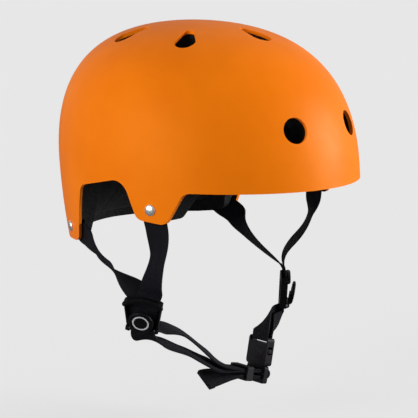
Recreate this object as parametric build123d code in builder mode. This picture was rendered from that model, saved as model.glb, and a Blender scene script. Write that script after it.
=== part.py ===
from build123d import *
import os
from dataclasses import dataclass
from math import acos, ceil, cos, degrees, radians, sin, sqrt

os.makedirs("parts", exist_ok=True)

# A skateboard helmet with its chin harness. X is forward, Y is the wearer's left, Z is up.
# The origin is on the mid plane, at the level where the dome is widest.

# Shell
shell_front = 140.8
shell_rear = 128.0
shell_side = 117.9
shell_crown = 117.9
shell_wall = 3.0
skirt_drop = 72.0
skirt_draw = 4.4
rake_share = 0.0858
crown_fullness_share = 0.668
overrun = 30.0

# Lower edge of the shell, seen from the side: depths below the origin and places along X
front_rim_drop = 10.8
lobe_front = 67.5
lobe_toe = 53.0
lobe_heel = 27.5
lobe_toe_drop = 37.6
lobe_heel_drop = 34.6
arch_front = 14.0
arch_front_drop = 2.5
arch_rear = -37.9
arch_rear_drop = 13.4
skirt_front = -48.8
skirt_front_drop = 63.0
skirt_rear = -76.0
skirt_rear_drop = 65.0
lobe_radius = 7.5
arch_front_radius = 14.0
arch_rear_radius = 9.0
skirt_radius = 9.0

# Vents
round_vent_bore = 21.5
round_vent_angle = 18.3
round_vent_share = 0.826
crown_vent_ring = 60.0
crown_vent_count = 6
crown_vent_length = 30.0
crown_vent_outer = 18.0
crown_vent_inner = 9.0
crown_vent_ring_lag = 4.0
vent_depth = 60.0
liner_vent_margin = 1.5

# Foam liner
liner_gap = 0.4
liner_front_wall = 22.0
liner_rear_wall = 22.0
liner_side_wall = 21.0
liner_crown_wall = 22.0
liner_flare = 12.0
liner_setback = 2.0

# Comfort pads and their hook patches
patch_gap = 0.2
patch_wall = 1.2
pad_edge = 3.0
crown_pad_gap = 0.3
pad_wall = 9.0
pad_edge_swell = 0.4
pad_taper_share = 0.45
rear_pad_wall = 6.5
crown_pad_length = 110.0
crown_pad_width = 84.0
crown_pad_round = 4.0
patch_height = 16.0
patch_span = 12.0

# Strap rivets
rivet_head = 9.5
rivet_head_rise = 2.2
rivet_shank = 4.6
rivet_tail = 7.0
rivet_tail_rise = 1.2
rivet_fit = 0.1
washer_outer = 11.0
washer_wall = 0.8
washer_gap = 0.1
side_rivet_forward = 40.0
side_rivet_drop = 26.0
rear_rivet_back = 65.0
rear_rivet_drop = 53.0

# Webbing
webbing_width = 20.0
webbing_wall = 1.3
ply_gap = 0.3
strap_tab = 9.0
strap_flat = 6.5
loop_rise = 4.0
section_pitch = 4.5
side_strap_exit = 15.0
rear_strap_exit = 22.0
strap_shell_gap = 1.0
pocket_margin = 3.0
pocket_depth = 5.4

# Side adjusters
adjuster_out = 96.0
right_adjuster_forward = 16.5
right_adjuster_drop = 117.5
right_adjuster_turn = 28.0
right_adjuster_lean = 18.0
right_adjuster_roll = -6.0
left_adjuster_forward = 13.5
left_adjuster_drop = 128.5
left_adjuster_turn = 50.0
left_adjuster_lean = 3.0
adjuster_lead = 4.0
adjuster_trail = 3.0
adjuster_height = 31.5
adjuster_top_half = 16.2
adjuster_foot_half = 12.4
adjuster_cheek = 1.8
adjuster_channel = 3.2
adjuster_back = 1.5
adjuster_front = 1.6
hood_height = 7.0
hood_rise = 2.2
hood_arch = 4.0
adjuster_corner = 3.0
strap_offset = 4.0
pin_bore = 2.2
pin_fit = 0.08
pin_height = 3.4
pin_lift = 3.6
boss_outer = 4.6
boss_wall = 0.8
lever_hub = 3.6
lever_hub_gap = 0.4
lever_disc = 21.0
lever_disc_wall = 2.2
lever_disc_offset = 2.5
lever_reach = 10.0
lever_neck = 13.0
lever_tilt = 8.0
lever_disc_round = 0.9
badge_outer = 14.0
badge_bore = 11.6
badge_depth = 0.5
badge_fit = 0.1

# Side release buckle
buckle_forward = 20.0
buckle_out = 52.0
buckle_drop = 189.0
buckle_turn = 10.0
buckle_lean = 11.0
buckle_width = 25.0
buckle_wall = 8.4
socket_height = 25.5
socket_corner = 3.0
socket_skin = 1.6
mouth_width = 20.6
mouth_depth = 18.6
strap_bar = 2.2
strap_bar_wall = 3.2
strap_slot = 3.0
strap_slot_width = 21.4
window_foot = 10.6
window_height = 6.8
plug_width = 24.0
plug_wall = 4.6
plug_height = 15.5
plug_corner = 2.0
plug_head = 2.4
ladder_slot = 3.4
ladder_bar = 2.4
plug_neck = 17.6
plug_neck_height = 2.0
guide_width = 4.0
guide_height = 15.0
guide_wall = 3.4
arm_fit = 0.3
arm_root = 1.0
arm_width = 2.8
arm_length = 15.2
arm_grip_foot = 11.0
arm_grip_out = 2.6
arm_wall = 4.4

# Keeper and tail
wrap_lead = 6.0
keeper_start = 13.0
keeper_length = 7.0
keeper_wall = 1.5
keeper_gap = 0.5
keeper_straight = 24.0
tail_length = 35.0
tail_droop = 5.0


@dataclass(frozen=True)
class Dome:
    """A head form: a turned profile, stretched to an oval and raked back.

    A place on it is an angle round Z, from the front, and a run along the profile, from 0 at the
    crown over 1 at the widest level to 2 at the foot of the skirt.
    """

    front: float
    rear: float
    side: float
    crown: float
    draw: float

    def inset(self, depth):
        return Dome(self.front - depth, self.rear - depth, self.side - depth, self.crown - depth, self.draw)

    def profile(self, run):
        """Radius and height at a run, and how fast both change with it."""
        full = crown_fullness_share
        if run > 1:
            low = run - 1
            return self.side - self.draw * low**2, -skirt_drop * low, -2 * self.draw * low, -skirt_drop
        up = 1 - run
        radius = 3 * up**2 * run * full + 3 * up * run**2 + run**3
        height = up**3 + 3 * up**2 * run + 3 * up * run**2 * full
        radius_rate = 3 * up**2 * full + 6 * up * run * (1 - full)
        height_rate = 6 * up * run * (full - 1) - 3 * run**2 * full
        return self.side * radius, self.crown * height, self.side * radius_rate, self.crown * height_rate

    def stretch(self, angle):
        return (self.front if cos(radians(angle)) > 0 else self.rear) / self.side

    def point(self, angle, run, depth=0):
        """The place at an angle and a run, drawn in by a depth towards the middle line."""
        radius, height = self.profile(run)[:2]
        ahead = self.stretch(angle) * (radius - depth) * cos(radians(angle))
        return Vector(ahead - rake_share * height, (radius - depth) * sin(radians(angle)), height)

    def normal(self, angle, run):
        """The outward direction at an angle and a run."""
        radius, _, radius_rate, height_rate = self.profile(run)
        turn, reach = radians(angle), self.stretch(angle)
        round_way = Vector(-reach * radius * sin(turn), radius * cos(turn), 0)
        ahead = reach * radius_rate * cos(turn) - rake_share * height_rate
        down_way = Vector(ahead, radius_rate * sin(turn), height_rate)
        return down_way.cross(round_way).normalized()

    def angle_at(self, ahead, run, side):
        """The angle of the place with this X, on the right (-1) or the left (1)."""
        radius, height = self.profile(run)[:2]
        reach = self.front if ahead > 0 else self.rear
        return side * degrees(acos((ahead + rake_share * height) / (radius * reach / self.side)))

    def half(self, reach, way):
        """The front (1) or rear (-1) half as a closed solid."""
        full = crown_fullness_share
        foot = self.side - self.draw
        with BuildPart() as part:
            with BuildSketch(Plane(origin=(0, 0, 0), x_dir=(0, -way, 0), z_dir=(-way, 0, 0))):
                with BuildLine():
                    Line((0, -skirt_drop), (0, self.crown))
                    Bezier((0, self.crown), (self.side * full, self.crown), (self.side, self.crown * full),
                           (self.side, 0))
                    Bezier((self.side, 0), (self.side, -skirt_drop / 2), (foot, -skirt_drop))
                    Line((foot, -skirt_drop), (0, -skirt_drop))
                make_face()
            revolve(axis=Axis.Z, revolution_arc=180)
        rows = [[reach / self.side, 0, -rake_share, 0], [0, 1, 0, 0], [0, 0, 1, 0]]
        return part.part.transform_geometry(Matrix(rows))

    def solid(self):
        with BuildPart() as part:
            add(self.half(self.front, 1))
            add(self.half(self.rear, -1))
        return part.part


outer = Dome(shell_front, shell_rear, shell_side, shell_crown, skirt_draw)
liner_outer = outer.inset(shell_wall + liner_gap)
cavity = Dome(
    liner_outer.front - liner_front_wall,
    liner_outer.rear - liner_rear_wall,
    liner_outer.side - liner_side_wall,
    liner_outer.crown - liner_crown_wall,
    -liner_flare,
)


def finish(part, name):
    """Labels a finished piece and writes it under its name."""
    part.label = name
    export_step(part, f"parts/{name}.step")


def below_edge(setback):
    """Everything below the lower edge, which a setback moves up and into the lobes."""
    front, rear = shell_front + overrun, -shell_rear - overrun
    edge = [
        (front, -front_rim_drop),
        (lobe_front, -front_rim_drop),
        (lobe_toe, -lobe_toe_drop),
        (lobe_heel, -lobe_heel_drop),
        (arch_front, -arch_front_drop),
        (arch_rear, -arch_rear_drop),
        (skirt_front, -skirt_front_drop),
        (skirt_rear, -skirt_rear_drop),
        (rear, -skirt_rear_drop),
    ]
    radii = [lobe_radius, lobe_radius, lobe_radius, arch_front_radius, arch_rear_radius, skirt_radius,
             skirt_radius]
    with BuildPart() as part:
        with BuildSketch(Plane.XZ):
            with BuildLine():
                FilletPolyline(*edge, radius=radii)
                Polyline(edge[-1], (rear, -skirt_drop - overrun), (front, -skirt_drop - overrun), edge[0])
            make_face()
            if setback:
                offset(amount=setback, kind=Kind.INTERSECTION)
        extrude(amount=shell_side + overrun, both=True)
    return part.part


def vent_cores(margin):
    """The bodies of air in the vents, wider by a margin all round."""
    with BuildPart() as part:
        for angle in (round_vent_angle, -round_vent_angle, 180 - round_vent_angle, round_vent_angle - 180):
            place, way = outer.point(angle, round_vent_share), outer.normal(angle, round_vent_share)
            with BuildSketch(Plane(origin=place + way * overrun, z_dir=way)):
                Circle(round_vent_bore / 2 + margin)
            extrude(amount=-vent_depth - overrun)
        inner_at = crown_vent_ring - crown_vent_length / 2 + crown_vent_inner / 2
        outer_at = crown_vent_ring + crown_vent_length / 2 - crown_vent_outer / 2
        with BuildSketch(Plane.XY.offset(shell_crown - vent_depth)):
            with Locations((-crown_vent_ring_lag, 0)):
                with PolarLocations(0, crown_vent_count):
                    with BuildSketch(mode=Mode.PRIVATE) as drop:
                        with Locations((inner_at, 0)):
                            Circle(crown_vent_inner / 2 + margin)
                        with Locations((outer_at, 0)):
                            Circle(crown_vent_outer / 2 + margin)
                        make_hull()
                    add(drop.sketch)
        extrude(amount=vent_depth + overrun)
    return part.part


@dataclass(frozen=True)
class Anchor:
    """The seat of a strap under its rivet, on the inside of the shell."""

    side: int
    ahead: float
    drop: float
    way: tuple
    exit_run: float

    def __post_init__(self):
        run = 1 + self.drop / skirt_drop
        angle = outer.angle_at(self.ahead, run, self.side)
        object.__setattr__(self, "normal", outer.normal(angle, run))
        object.__setattr__(self, "skin", outer.point(angle, run))

    def plane(self, depth):
        """A plane at a depth under the shell's skin, with its local Y against the strap's run."""
        run = Vector(*self.way)
        run = (run - self.normal * run.dot(self.normal)).normalized()
        return Plane(origin=self.skin - self.normal * depth, x_dir=self.normal.cross(run), z_dir=self.normal)

    def seat_depth(self):
        return shell_wall + strap_shell_gap + webbing_wall / 2

    def exit_stop(self):
        """Where the strap leaves the shell's cover, its way there and the shell's normal."""
        way = Vector(*self.way)
        run = 1 + (self.drop - way.Z * self.exit_run) / skirt_drop
        angle = outer.angle_at(self.ahead + way.X * self.exit_run, run, self.side)
        normal = outer.normal(angle, run)
        place = outer.point(angle, run) - normal * (self.seat_depth() + ply_gap)
        return place, (way - normal * way.dot(normal)).normalized(), normal

    def hole(self, bore, near, far):
        """A round core on the rivet's axis between two depths."""
        with BuildPart() as part:
            with BuildSketch(self.plane(near)):
                Circle(bore / 2)
            extrude(amount=near - far)
        return part.part


# Ways in which the straps leave their rivets
right_front_way = (0.18, 0, -0.98)
left_front_way = (-0.07, 0, -1)
right_rear_way = (0.97, 0, -0.26)
left_rear_way = (0.8, 0, -0.6)
anchors = {
    "right_front": Anchor(-1, side_rivet_forward, side_rivet_drop, right_front_way, side_strap_exit),
    "left_front": Anchor(1, side_rivet_forward, side_rivet_drop, left_front_way, side_strap_exit),
    "right_rear": Anchor(-1, -rear_rivet_back, rear_rivet_drop, right_rear_way, rear_strap_exit),
    "left_rear": Anchor(1, -rear_rivet_back, rear_rivet_drop, left_rear_way, rear_strap_exit),
}
below_shell = below_edge(0)
below_liner = below_edge(liner_setback)

# Outer shell
with BuildPart() as outer_shell:
    add(outer.solid())
    add(below_shell, mode=Mode.SUBTRACT)
    add(vent_cores(0), mode=Mode.SUBTRACT)
    add(outer.inset(shell_wall).solid(), mode=Mode.SUBTRACT)
    for anchor in anchors.values():
        add(anchor.hole(rivet_shank + 2 * rivet_fit, -shell_wall, 2 * shell_wall), mode=Mode.SUBTRACT)
finish(outer_shell.part, "outer_shell")


def strap_pocket(anchor):
    """The room for a strap and its rivet between the shell and the foam."""
    width = webbing_width + 2 * pocket_margin
    with BuildPart() as part:
        with BuildSketch(anchor.plane(shell_wall + pocket_depth)):
            with Locations((0, strap_tab + pocket_margin)):
                Rectangle(width, webbing_width + overrun + width, align=(Align.CENTER, Align.MAX))
        extrude(amount=pocket_depth + shell_wall)
    return part.part


# Foam liner
with BuildPart() as foam_liner:
    add(liner_outer.solid())
    add(below_liner, mode=Mode.SUBTRACT)
    add(vent_cores(liner_vent_margin), mode=Mode.SUBTRACT)
    add(cavity.solid(), mode=Mode.SUBTRACT)
    for anchor in anchors.values():
        add(strap_pocket(anchor), mode=Mode.SUBTRACT)
finish(foam_liner.part, "foam_liner")


def lining(angles, runs, depth, edge, wall, taper_share):
    """A pad on the foam between two angles and two runs, thickest in its middle.

    Its sections stand on the foam at a depth. They have an edge this thick all round and swell to
    the wall in the middle, and the end sections are lower by the taper.
    """
    steps = 8
    middle = sum(runs) / 2
    with BuildPart() as part:
        for step in range(steps + 1):
            along = 2 * step / steps - 1
            angle = angles[0] + (angles[1] - angles[0]) * step / steps
            fullness = sqrt(max(1 - along**4, 0))
            half = (runs[1] - runs[0]) / 2 * (1 - taper_share * (1 - fullness))
            swell = edge + (wall - edge) * fullness + (pad_edge_swell if wall > edge else 0)
            turn, reach = radians(angle), cavity.stretch(angle)
            level = Vector(reach * cos(turn), sin(turn), 0).normalized()
            plane = Plane(origin=(0, 0, 0), x_dir=level, z_dir=level.cross(Vector(-rake_share, 0, 1)))
            top, foot = middle - half, middle + half
            places = [(top, depth), (middle, depth), (foot, depth), (foot, depth + edge),
                      (middle, depth + swell), (top, depth + edge)]
            spots = [plane.to_local_coords(cavity.point(angle, *place)) for place in places]
            with BuildSketch(plane):
                with BuildLine():
                    ThreePointArc(*[(spot.X, spot.Y) for spot in spots[:3]])
                    Line((spots[2].X, spots[2].Y), (spots[3].X, spots[3].Y))
                    ThreePointArc(*[(spot.X, spot.Y) for spot in spots[3:]])
                    Line((spots[5].X, spots[5].Y), (spots[0].X, spots[0].Y))
                make_face()
        loft()
    return part.part


# Comfort pads: angles from the front, runs along the foam's profile
pad_shares = {
    "brow_pad": ((-52, 52), (0.86, 1.08), pad_wall),
    "right_side_pad": ((-106, -68), (0.8, 1.02), pad_wall),
    "left_side_pad": ((68, 106), (0.8, 1.02), pad_wall),
    "rear_pad": ((124, 236), (1.28, 1.78), rear_pad_wall),
}
pad_depth = patch_gap + patch_wall + patch_gap
for name, (angles, runs, wall) in pad_shares.items():
    pad = lining(angles, runs, pad_depth, pad_edge, wall, pad_taper_share)
    finish(pad, name)

# Crown pad: an oval slice of the head form with its lower edge rounded
with BuildPart() as crown_pad:
    add(cavity.inset(crown_pad_gap).solid())
    add(cavity.inset(crown_pad_gap + pad_wall).solid(), mode=Mode.SUBTRACT)
    with BuildSketch(Plane.XY):
        Ellipse(crown_pad_length / 2, crown_pad_width / 2)
    extrude(amount=shell_crown, mode=Mode.INTERSECT)
    fillet(crown_pad.edges().sort_by(Axis.Z)[:2], radius=crown_pad_round)
finish(crown_pad.part, "crown_pad")

# Hook patches between the foam and the pads
patch_shares = [(-34, 0.97), (34, 0.97), (-87, 0.91), (87, 0.91), (148, 1.53), (180, 1.53), (212, 1.53)]
with BuildPart() as hook_patches:
    for angle, run in patch_shares:
        span = degrees(patch_span / cavity.side)
        rise = patch_height / 2 / skirt_drop if run > 1 else patch_height / 2 / (2 * cavity.crown)
        add(lining((angle - span / 2, angle + span / 2), (run - rise, run + rise), patch_gap, patch_wall,
                   patch_wall, 0))
finish(hook_patches.part, "hook_patches")


def rivet(anchor):
    """A domed rivet through the shell and the strap, with its set tail."""
    through = shell_wall + strap_shell_gap + webbing_wall + washer_gap + washer_wall
    plane = anchor.plane(0)
    turned = Plane(origin=plane.origin, x_dir=plane.x_dir, z_dir=plane.x_dir.cross(plane.z_dir))
    with BuildPart() as part:
        with BuildSketch(turned):
            with BuildLine():
                Polyline((0, rivet_head_rise), (0, -through - rivet_tail_rise),
                         (rivet_tail / 2 - rivet_tail_rise / 2, -through - rivet_tail_rise),
                         (rivet_tail / 2, -through), (rivet_shank / 2, -through), (rivet_shank / 2, 0),
                         (rivet_head / 2, 0))
                Bezier((rivet_head / 2, 0), (rivet_head / 2, rivet_head_rise), (0, rivet_head_rise))
            make_face()
        revolve(axis=Axis(plane.origin, plane.z_dir))
    return part.part


with BuildPart() as strap_rivets:
    for anchor in anchors.values():
        add(rivet(anchor))
finish(strap_rivets.part, "strap_rivets")

with BuildPart() as rivet_washers:
    for anchor in anchors.values():
        with BuildSketch(anchor.plane(shell_wall + strap_shell_gap + webbing_wall + washer_gap)):
            Circle(washer_outer / 2)
            Circle(rivet_shank / 2 + rivet_fit, mode=Mode.SUBTRACT)
        extrude(amount=-washer_wall)
finish(rivet_washers.part, "rivet_washers")


def turned_about(way, axis, angle):
    return way.rotate(Axis((0, 0, 0), axis), angle)


def side_plane(side, ahead, out, drop, face_turn, lean, roll):
    """A plane with its normal facing out from the head and its local Y up."""
    turn, tip = radians(face_turn), radians(lean)
    normal = Vector(sin(turn) * cos(tip), side * cos(turn) * cos(tip), -sin(tip))
    up = Vector(sin(turn) * sin(tip), side * cos(turn) * sin(tip), cos(tip))
    across = turned_about(up.cross(normal), normal, roll)
    return Plane(origin=(ahead, side * out, -drop), x_dir=across, z_dir=normal)


adjusters = {
    "right": side_plane(-1, right_adjuster_forward, adjuster_out, right_adjuster_drop, right_adjuster_turn,
                        right_adjuster_lean, right_adjuster_roll),
    "left": side_plane(1, left_adjuster_forward, adjuster_out, left_adjuster_drop, left_adjuster_turn,
                       left_adjuster_lean, 0),
}
# The buckle's plane: its origin is in the middle of the socket's mouth, and its normal points to the right
buckle_across = Vector(cos(radians(buckle_turn)), -sin(radians(buckle_turn)), 0)
buckle_up = Vector(0, sin(radians(buckle_lean)), cos(radians(buckle_lean)))
buckle = Plane(
    origin=(buckle_forward, buckle_out, -buckle_drop),
    x_dir=buckle_across,
    z_dir=buckle_across.cross(buckle_up),
)


def spot(plane, across, up, out):
    return plane.from_local_coords(Vector(across, up, out))


def adjuster_frame(plane):
    """The slider frame: two cheeks, a back plate and a hood in front of the webbing."""
    half_height = adjuster_height / 2
    back, front = -adjuster_channel / 2 - adjuster_back, adjuster_channel / 2 + adjuster_front
    inner_top, inner_foot = adjuster_top_half - adjuster_cheek, adjuster_foot_half - adjuster_cheek
    shoulder = half_height - hood_arch
    crest = half_height + hood_arch / 4
    hood_foot = half_height - hood_height
    with BuildPart() as part:
        with BuildSketch(plane.offset(back)):
            with BuildLine():
                ThreePointArc((-adjuster_top_half, shoulder), (0, crest), (adjuster_top_half, shoulder))
                Polyline((adjuster_top_half, shoulder), (adjuster_foot_half, -half_height),
                         (-adjuster_foot_half, -half_height), (-adjuster_top_half, shoulder))
            make_face()
        extrude(amount=front - back)
        # Raised hood
        with BuildSketch(plane.offset(front)):
            with BuildLine():
                ThreePointArc((-adjuster_top_half, shoulder), (0, crest), (adjuster_top_half, shoulder))
                Line((adjuster_top_half, shoulder), (inner_top, shoulder - adjuster_cheek))
                ThreePointArc((inner_top, shoulder - adjuster_cheek), (0, half_height - hood_height / 2),
                              (-inner_top, shoulder - adjuster_cheek))
                Line((-inner_top, shoulder - adjuster_cheek), (-adjuster_top_half, shoulder))
            make_face()
        extrude(amount=hood_rise)
        # Channel for the two plies
        with BuildSketch(plane.offset(-adjuster_channel / 2)):
            with BuildLine():
                Polyline((-inner_top, half_height + overrun), (inner_top, half_height + overrun),
                         (inner_top, half_height), (inner_foot, -half_height),
                         (inner_foot, -half_height - overrun), (-inner_foot, -half_height - overrun),
                         (-inner_foot, -half_height), (-inner_top, half_height), close=True)
            make_face()
        extrude(amount=adjuster_channel, mode=Mode.SUBTRACT)
        # Front window between the cheeks, under the hood
        with BuildSketch(plane):
            with BuildLine():
                ThreePointArc((-inner_top, hood_foot), (0, hood_foot + hood_arch / 2), (inner_top, hood_foot))
                Polyline((inner_top, hood_foot), (inner_foot, -half_height),
                         (inner_foot, -half_height - overrun), (-inner_foot, -half_height - overrun),
                         (-inner_foot, -half_height), (-inner_top, hood_foot))
            make_face()
        extrude(amount=overrun, mode=Mode.SUBTRACT)
        # Back window
        with BuildSketch(plane):
            RectangleRounded(2 * inner_foot - adjuster_corner, half_height, adjuster_corner / 2)
        extrude(amount=-overrun, mode=Mode.SUBTRACT)
        # Pin bosses
        pin_spot = spot(plane, 0, pin_height - half_height, pin_lift)
        axle = Plane(origin=pin_spot, x_dir=plane.y_dir, z_dir=plane.x_dir)
        for way in (-1, 1):
            with BuildSketch(axle.offset(way * (inner_foot + boss_wall / 2))):
                Circle(boss_outer / 2)
            extrude(amount=way * (adjuster_cheek + boss_wall))
        with BuildSketch(axle.offset(-adjuster_top_half)):
            Circle(pin_bore / 2 + pin_fit)
        extrude(amount=2 * adjuster_top_half, mode=Mode.SUBTRACT)
    return part.part, axle


def lever_plane(plane):
    """The lever's own plane: origin on the pin, local Y along the lever, local Z out."""
    pin_spot = spot(plane, 0, pin_height - adjuster_height / 2, pin_lift)
    normal = turned_about(plane.z_dir, plane.x_dir, lever_tilt)
    return Plane(origin=pin_spot, x_dir=plane.x_dir, z_dir=normal)


def lever(plane):
    """The cam lever: a hub on the pin and a round thumb disc over the window."""
    own = lever_plane(plane)
    hub_half = adjuster_foot_half - adjuster_cheek - lever_hub_gap
    axle = Plane(origin=own.origin, x_dir=own.y_dir, z_dir=own.x_dir)
    with BuildPart() as part:
        with BuildSketch(own.offset(lever_disc_offset)):
            with Locations((0, lever_reach)):
                Circle(lever_disc / 2)
        extrude(amount=lever_disc_wall)
        fillet(part.edges().filter_by(GeomType.CIRCLE), radius=lever_disc_round)
        with BuildSketch(own):
            with Locations((0, lever_reach / 2)):
                Rectangle(lever_neck, lever_reach)
        extrude(amount=lever_disc_offset + lever_disc_wall / 2)
        with BuildSketch(own.offset(-lever_hub / 2)):
            with Locations((0, lever_reach / 2 + lever_hub / 2)):
                Rectangle(lever_neck + lever_hub, lever_reach)
        extrude(amount=lever_hub / 2 + lever_disc_offset / 2, mode=Mode.SUBTRACT)
        with BuildSketch(axle.offset(-hub_half)):
            Circle(lever_hub / 2)
        extrude(amount=2 * hub_half)
        with BuildSketch(axle.offset(-adjuster_top_half)):
            Circle(pin_bore / 2 + pin_fit)
        extrude(amount=2 * adjuster_top_half, mode=Mode.SUBTRACT)
        with BuildSketch(own.offset(lever_disc_offset + lever_disc_wall - badge_depth)):
            with Locations((0, lever_reach)):
                Circle(badge_outer / 2 + badge_fit)
                Circle(badge_bore / 2 - badge_fit, mode=Mode.SUBTRACT)
        extrude(amount=badge_depth, mode=Mode.SUBTRACT)
    return part.part


for name, plane in adjusters.items():
    frame_part, axle = adjuster_frame(plane)
    finish(frame_part, f"{name}_adjuster_frame")
    finish(lever(plane), f"{name}_adjuster_lever")
    with BuildPart() as adjuster_pin:
        with BuildSketch(axle.offset(-adjuster_foot_half - boss_wall)):
            Circle(pin_bore / 2)
        extrude(amount=2 * (adjuster_foot_half + boss_wall))
    finish(adjuster_pin.part, f"{name}_adjuster_pin")
    with BuildPart() as lever_badge:
        with BuildSketch(lever_plane(plane).offset(lever_disc_offset + lever_disc_wall - badge_depth)):
            with Locations((0, lever_reach)):
                Circle(badge_outer / 2)
                Circle(badge_bore / 2, mode=Mode.SUBTRACT)
        extrude(amount=badge_depth)
    finish(lever_badge.part, f"{name}_lever_badge")


def eased(share):
    return share * share * (3 - 2 * share)


def turn_at(share, turn_shares):
    """The twist at a share of the length, eased between the rows of a table."""
    for (before, first), (after, second) in zip(turn_shares, turn_shares[1:]):
        if share <= after:
            return first + (second - first) * eased((share - before) / (after - before))
    return turn_shares[-1][1]


@dataclass(frozen=True)
class Stop:
    """A place that a strap passes, its way and its face there, and the pulls before and after."""

    place: Vector
    way: Vector
    face: Vector
    pull_in: float
    pull_out: float


@dataclass(frozen=True)
class Route:
    """How a strap runs over its free span.

    The pulls are shares of the span, the twist table has shares of the span and degrees, and the
    bow is how far the span's middle stands off, in shares of the webbing's width. At the adjuster's
    upper edge a strap splays in its own plane and tips out of it.
    """

    start_share: float
    end_share: float
    turn_shares: tuple
    bow_shares: tuple = (0, 0, 0)
    splay: float = 0
    tip: float = 0


def ribbon(stops, free_span, route, wall=webbing_wall):
    """A length of webbing through its stops, bowed and twisted by its route over its free span."""
    sections = []
    bow = Vector(*route.bow_shares) * webbing_width
    for number, (start, end) in enumerate(zip(stops, stops[1:])):
        first = start.place + start.way * start.pull_out
        second = end.place - end.way * end.pull_in
        steps = ceil((end.place - start.place).length / section_pitch)
        for step in range(0 if number == 0 else 1, steps + 1):
            share = step / steps
            left = 1 - share
            place = (start.place * left**3 + first * (3 * left**2 * share)
                     + second * (3 * left * share**2) + end.place * share**3)
            way = ((first - start.place) * left**2 + (second - first) * (2 * left * share)
                   + (end.place - second) * share**2) * 3
            if number == free_span:
                place = place + bow * (4 * left * share) ** 2
                way = way + bow * (32 * left * share * (left - share))
            way = way.normalized()
            face = start.face * (1 - eased(share)) + end.face * eased(share)
            across = way.cross(face).normalized()
            if number == free_span:
                across = turned_about(across, way, turn_at(share, route.turn_shares))
            sections.append((place, way, across))
    length = sum((after[0] - before[0]).length for before, after in zip(sections, sections[1:]))
    with BuildPart() as part:
        for place, way, across in sections:
            with BuildSketch(Plane(origin=place, x_dir=across, z_dir=way)):
                Rectangle(webbing_width, wall)
        loft(ruled=True)
    return part.part, length


strap_route_shares = {
    "right_front": Route(0.65, 0.1, ((0, 0), (0.3, 33), (1, 0)), (-0.131, -0.111, 0), -20, -9.5),
    "right_rear": Route(0.65, 0.1, ((0, 0), (0.354, 53), (1, 0)), (-0.212, -0.18, 0), 20, -9.5),
    "left_front": Route(0.52, 0.43, ((0, 0), (0.2, 30), (1, 0)), (0.163, 0.138, 0), -1, -25),
    "left_rear": Route(0.15, 0.15, ((0, 0), (0.35, 32), (1, 0)), (-0.247, -0.209, 0), 12, -25),
}
ply_depth = (webbing_wall + ply_gap) / 2
strap_lengths = {}


def ply_run(side_name, end_name):
    """Where a ply enters and leaves its adjuster, and its way in."""
    plane = adjusters[side_name]
    lead = strap_offset if end_name == "front" else -strap_offset
    lead = lead if side_name == "right" else -lead
    layer = ply_depth if end_name == "front" else -ply_depth
    entry = spot(plane, lead, adjuster_height / 2, layer)
    leave = spot(plane, 0, -adjuster_height / 2, layer)
    return entry, leave, (leave - entry).normalized()


# Straps from the rivets down to the adjusters
for name, anchor in anchors.items():
    side_name, end_name = name.split("_")
    plane = adjusters[side_name]
    seat = anchor.plane(anchor.seat_depth())
    way = -seat.y_dir
    flat_end = seat.origin + way * strap_flat
    exit_place, exit_way, exit_face = anchor.exit_stop()
    entry, _, entry_way = ply_run(side_name, end_name)
    route = strap_route_shares[name]
    tipped = turned_about(turned_about(entry_way, plane.z_dir, route.splay), plane.x_dir, route.tip)
    tipped_face = turned_about(plane.z_dir, plane.x_dir, route.tip)
    above = entry - (entry_way + tipped).normalized() * adjuster_lead
    span = (above - exit_place).length
    flat_third = (strap_tab + strap_flat) / 3
    exit_third = (exit_place - flat_end).length / 3
    stops = [Stop(seat.origin - way * strap_tab, way, anchor.normal, 0, flat_third),
             Stop(flat_end, way, anchor.normal, flat_third, exit_third),
             Stop(exit_place, exit_way, exit_face, exit_third, span * route.start_share),
             Stop(above, tipped, tipped_face, span * route.end_share, adjuster_lead / 3),
             Stop(entry, entry_way, plane.z_dir, adjuster_lead / 3, 0)]
    strap, length = ribbon(stops, 2, route)
    with BuildPart() as strap_part:
        add(strap)
        strap_hole = anchor.hole(rivet_shank + 2 * rivet_fit, shell_wall, shell_wall + pocket_depth)
        add(strap_hole, mode=Mode.SUBTRACT)
    finish(strap_part.part, f"{name}_strap")
    strap_lengths[name] = length

# Chin straps of the left side, which loop round the bar of the buckle's socket
loop_out = strap_bar_wall / 2 + ply_gap + webbing_wall / 2
left_chin_turn_shares = ((0, 0), (0.35, -10), (0.7, -13), (1, 0))
left_chin_route_shares = {
    "outer": Route(0.43, 0.35, left_chin_turn_shares, (-0.025, -0.03, -0.06)),
    "inner": Route(0.21, 0.32, left_chin_turn_shares, (-0.11, -0.085, 0.07)),
}
for end_name, name in (("front", "outer"), ("rear", "inner")):
    entry, leave, way = ply_run("left", end_name)
    foot_way = -adjusters["left"].y_dir
    below = leave + foot_way * adjuster_trail
    layer = -loop_out if name == "outer" else loop_out
    end = spot(buckle, 0, socket_height + loop_rise, layer)
    down = -buckle.y_dir
    route = left_chin_route_shares[name]
    span = (end - below).length
    third = (below - entry).length / 3
    face = adjusters["left"].z_dir
    stops = [Stop(entry, way, face, 0, third),
             Stop(below, foot_way, face, third, span * route.start_share),
             Stop(end, down, -buckle.z_dir, span * route.end_share, 0)]
    strap, length = ribbon(stops, 1, route)
    finish(strap, f"left_chin_strap_{name}")
    strap_lengths[f"left_chin_{name}"] = length

buckle_side = Plane(origin=buckle.origin, x_dir=buckle.z_dir, z_dir=buckle.z_dir.cross(buckle.y_dir))
with BuildPart() as left_buckle_loop:
    bar_foot = socket_height - strap_bar
    turn_level = bar_foot - ply_gap - webbing_wall / 2
    with BuildSketch(buckle_side):
        with BuildLine():
            FilletPolyline((-loop_out, socket_height + loop_rise), (-loop_out, turn_level),
                           (loop_out, turn_level), (loop_out, socket_height + loop_rise), radius=webbing_wall)
        trace(line_width=webbing_wall)
    extrude(amount=webbing_width / 2, both=True)
finish(left_buckle_loop.part, "left_buckle_loop")

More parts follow.
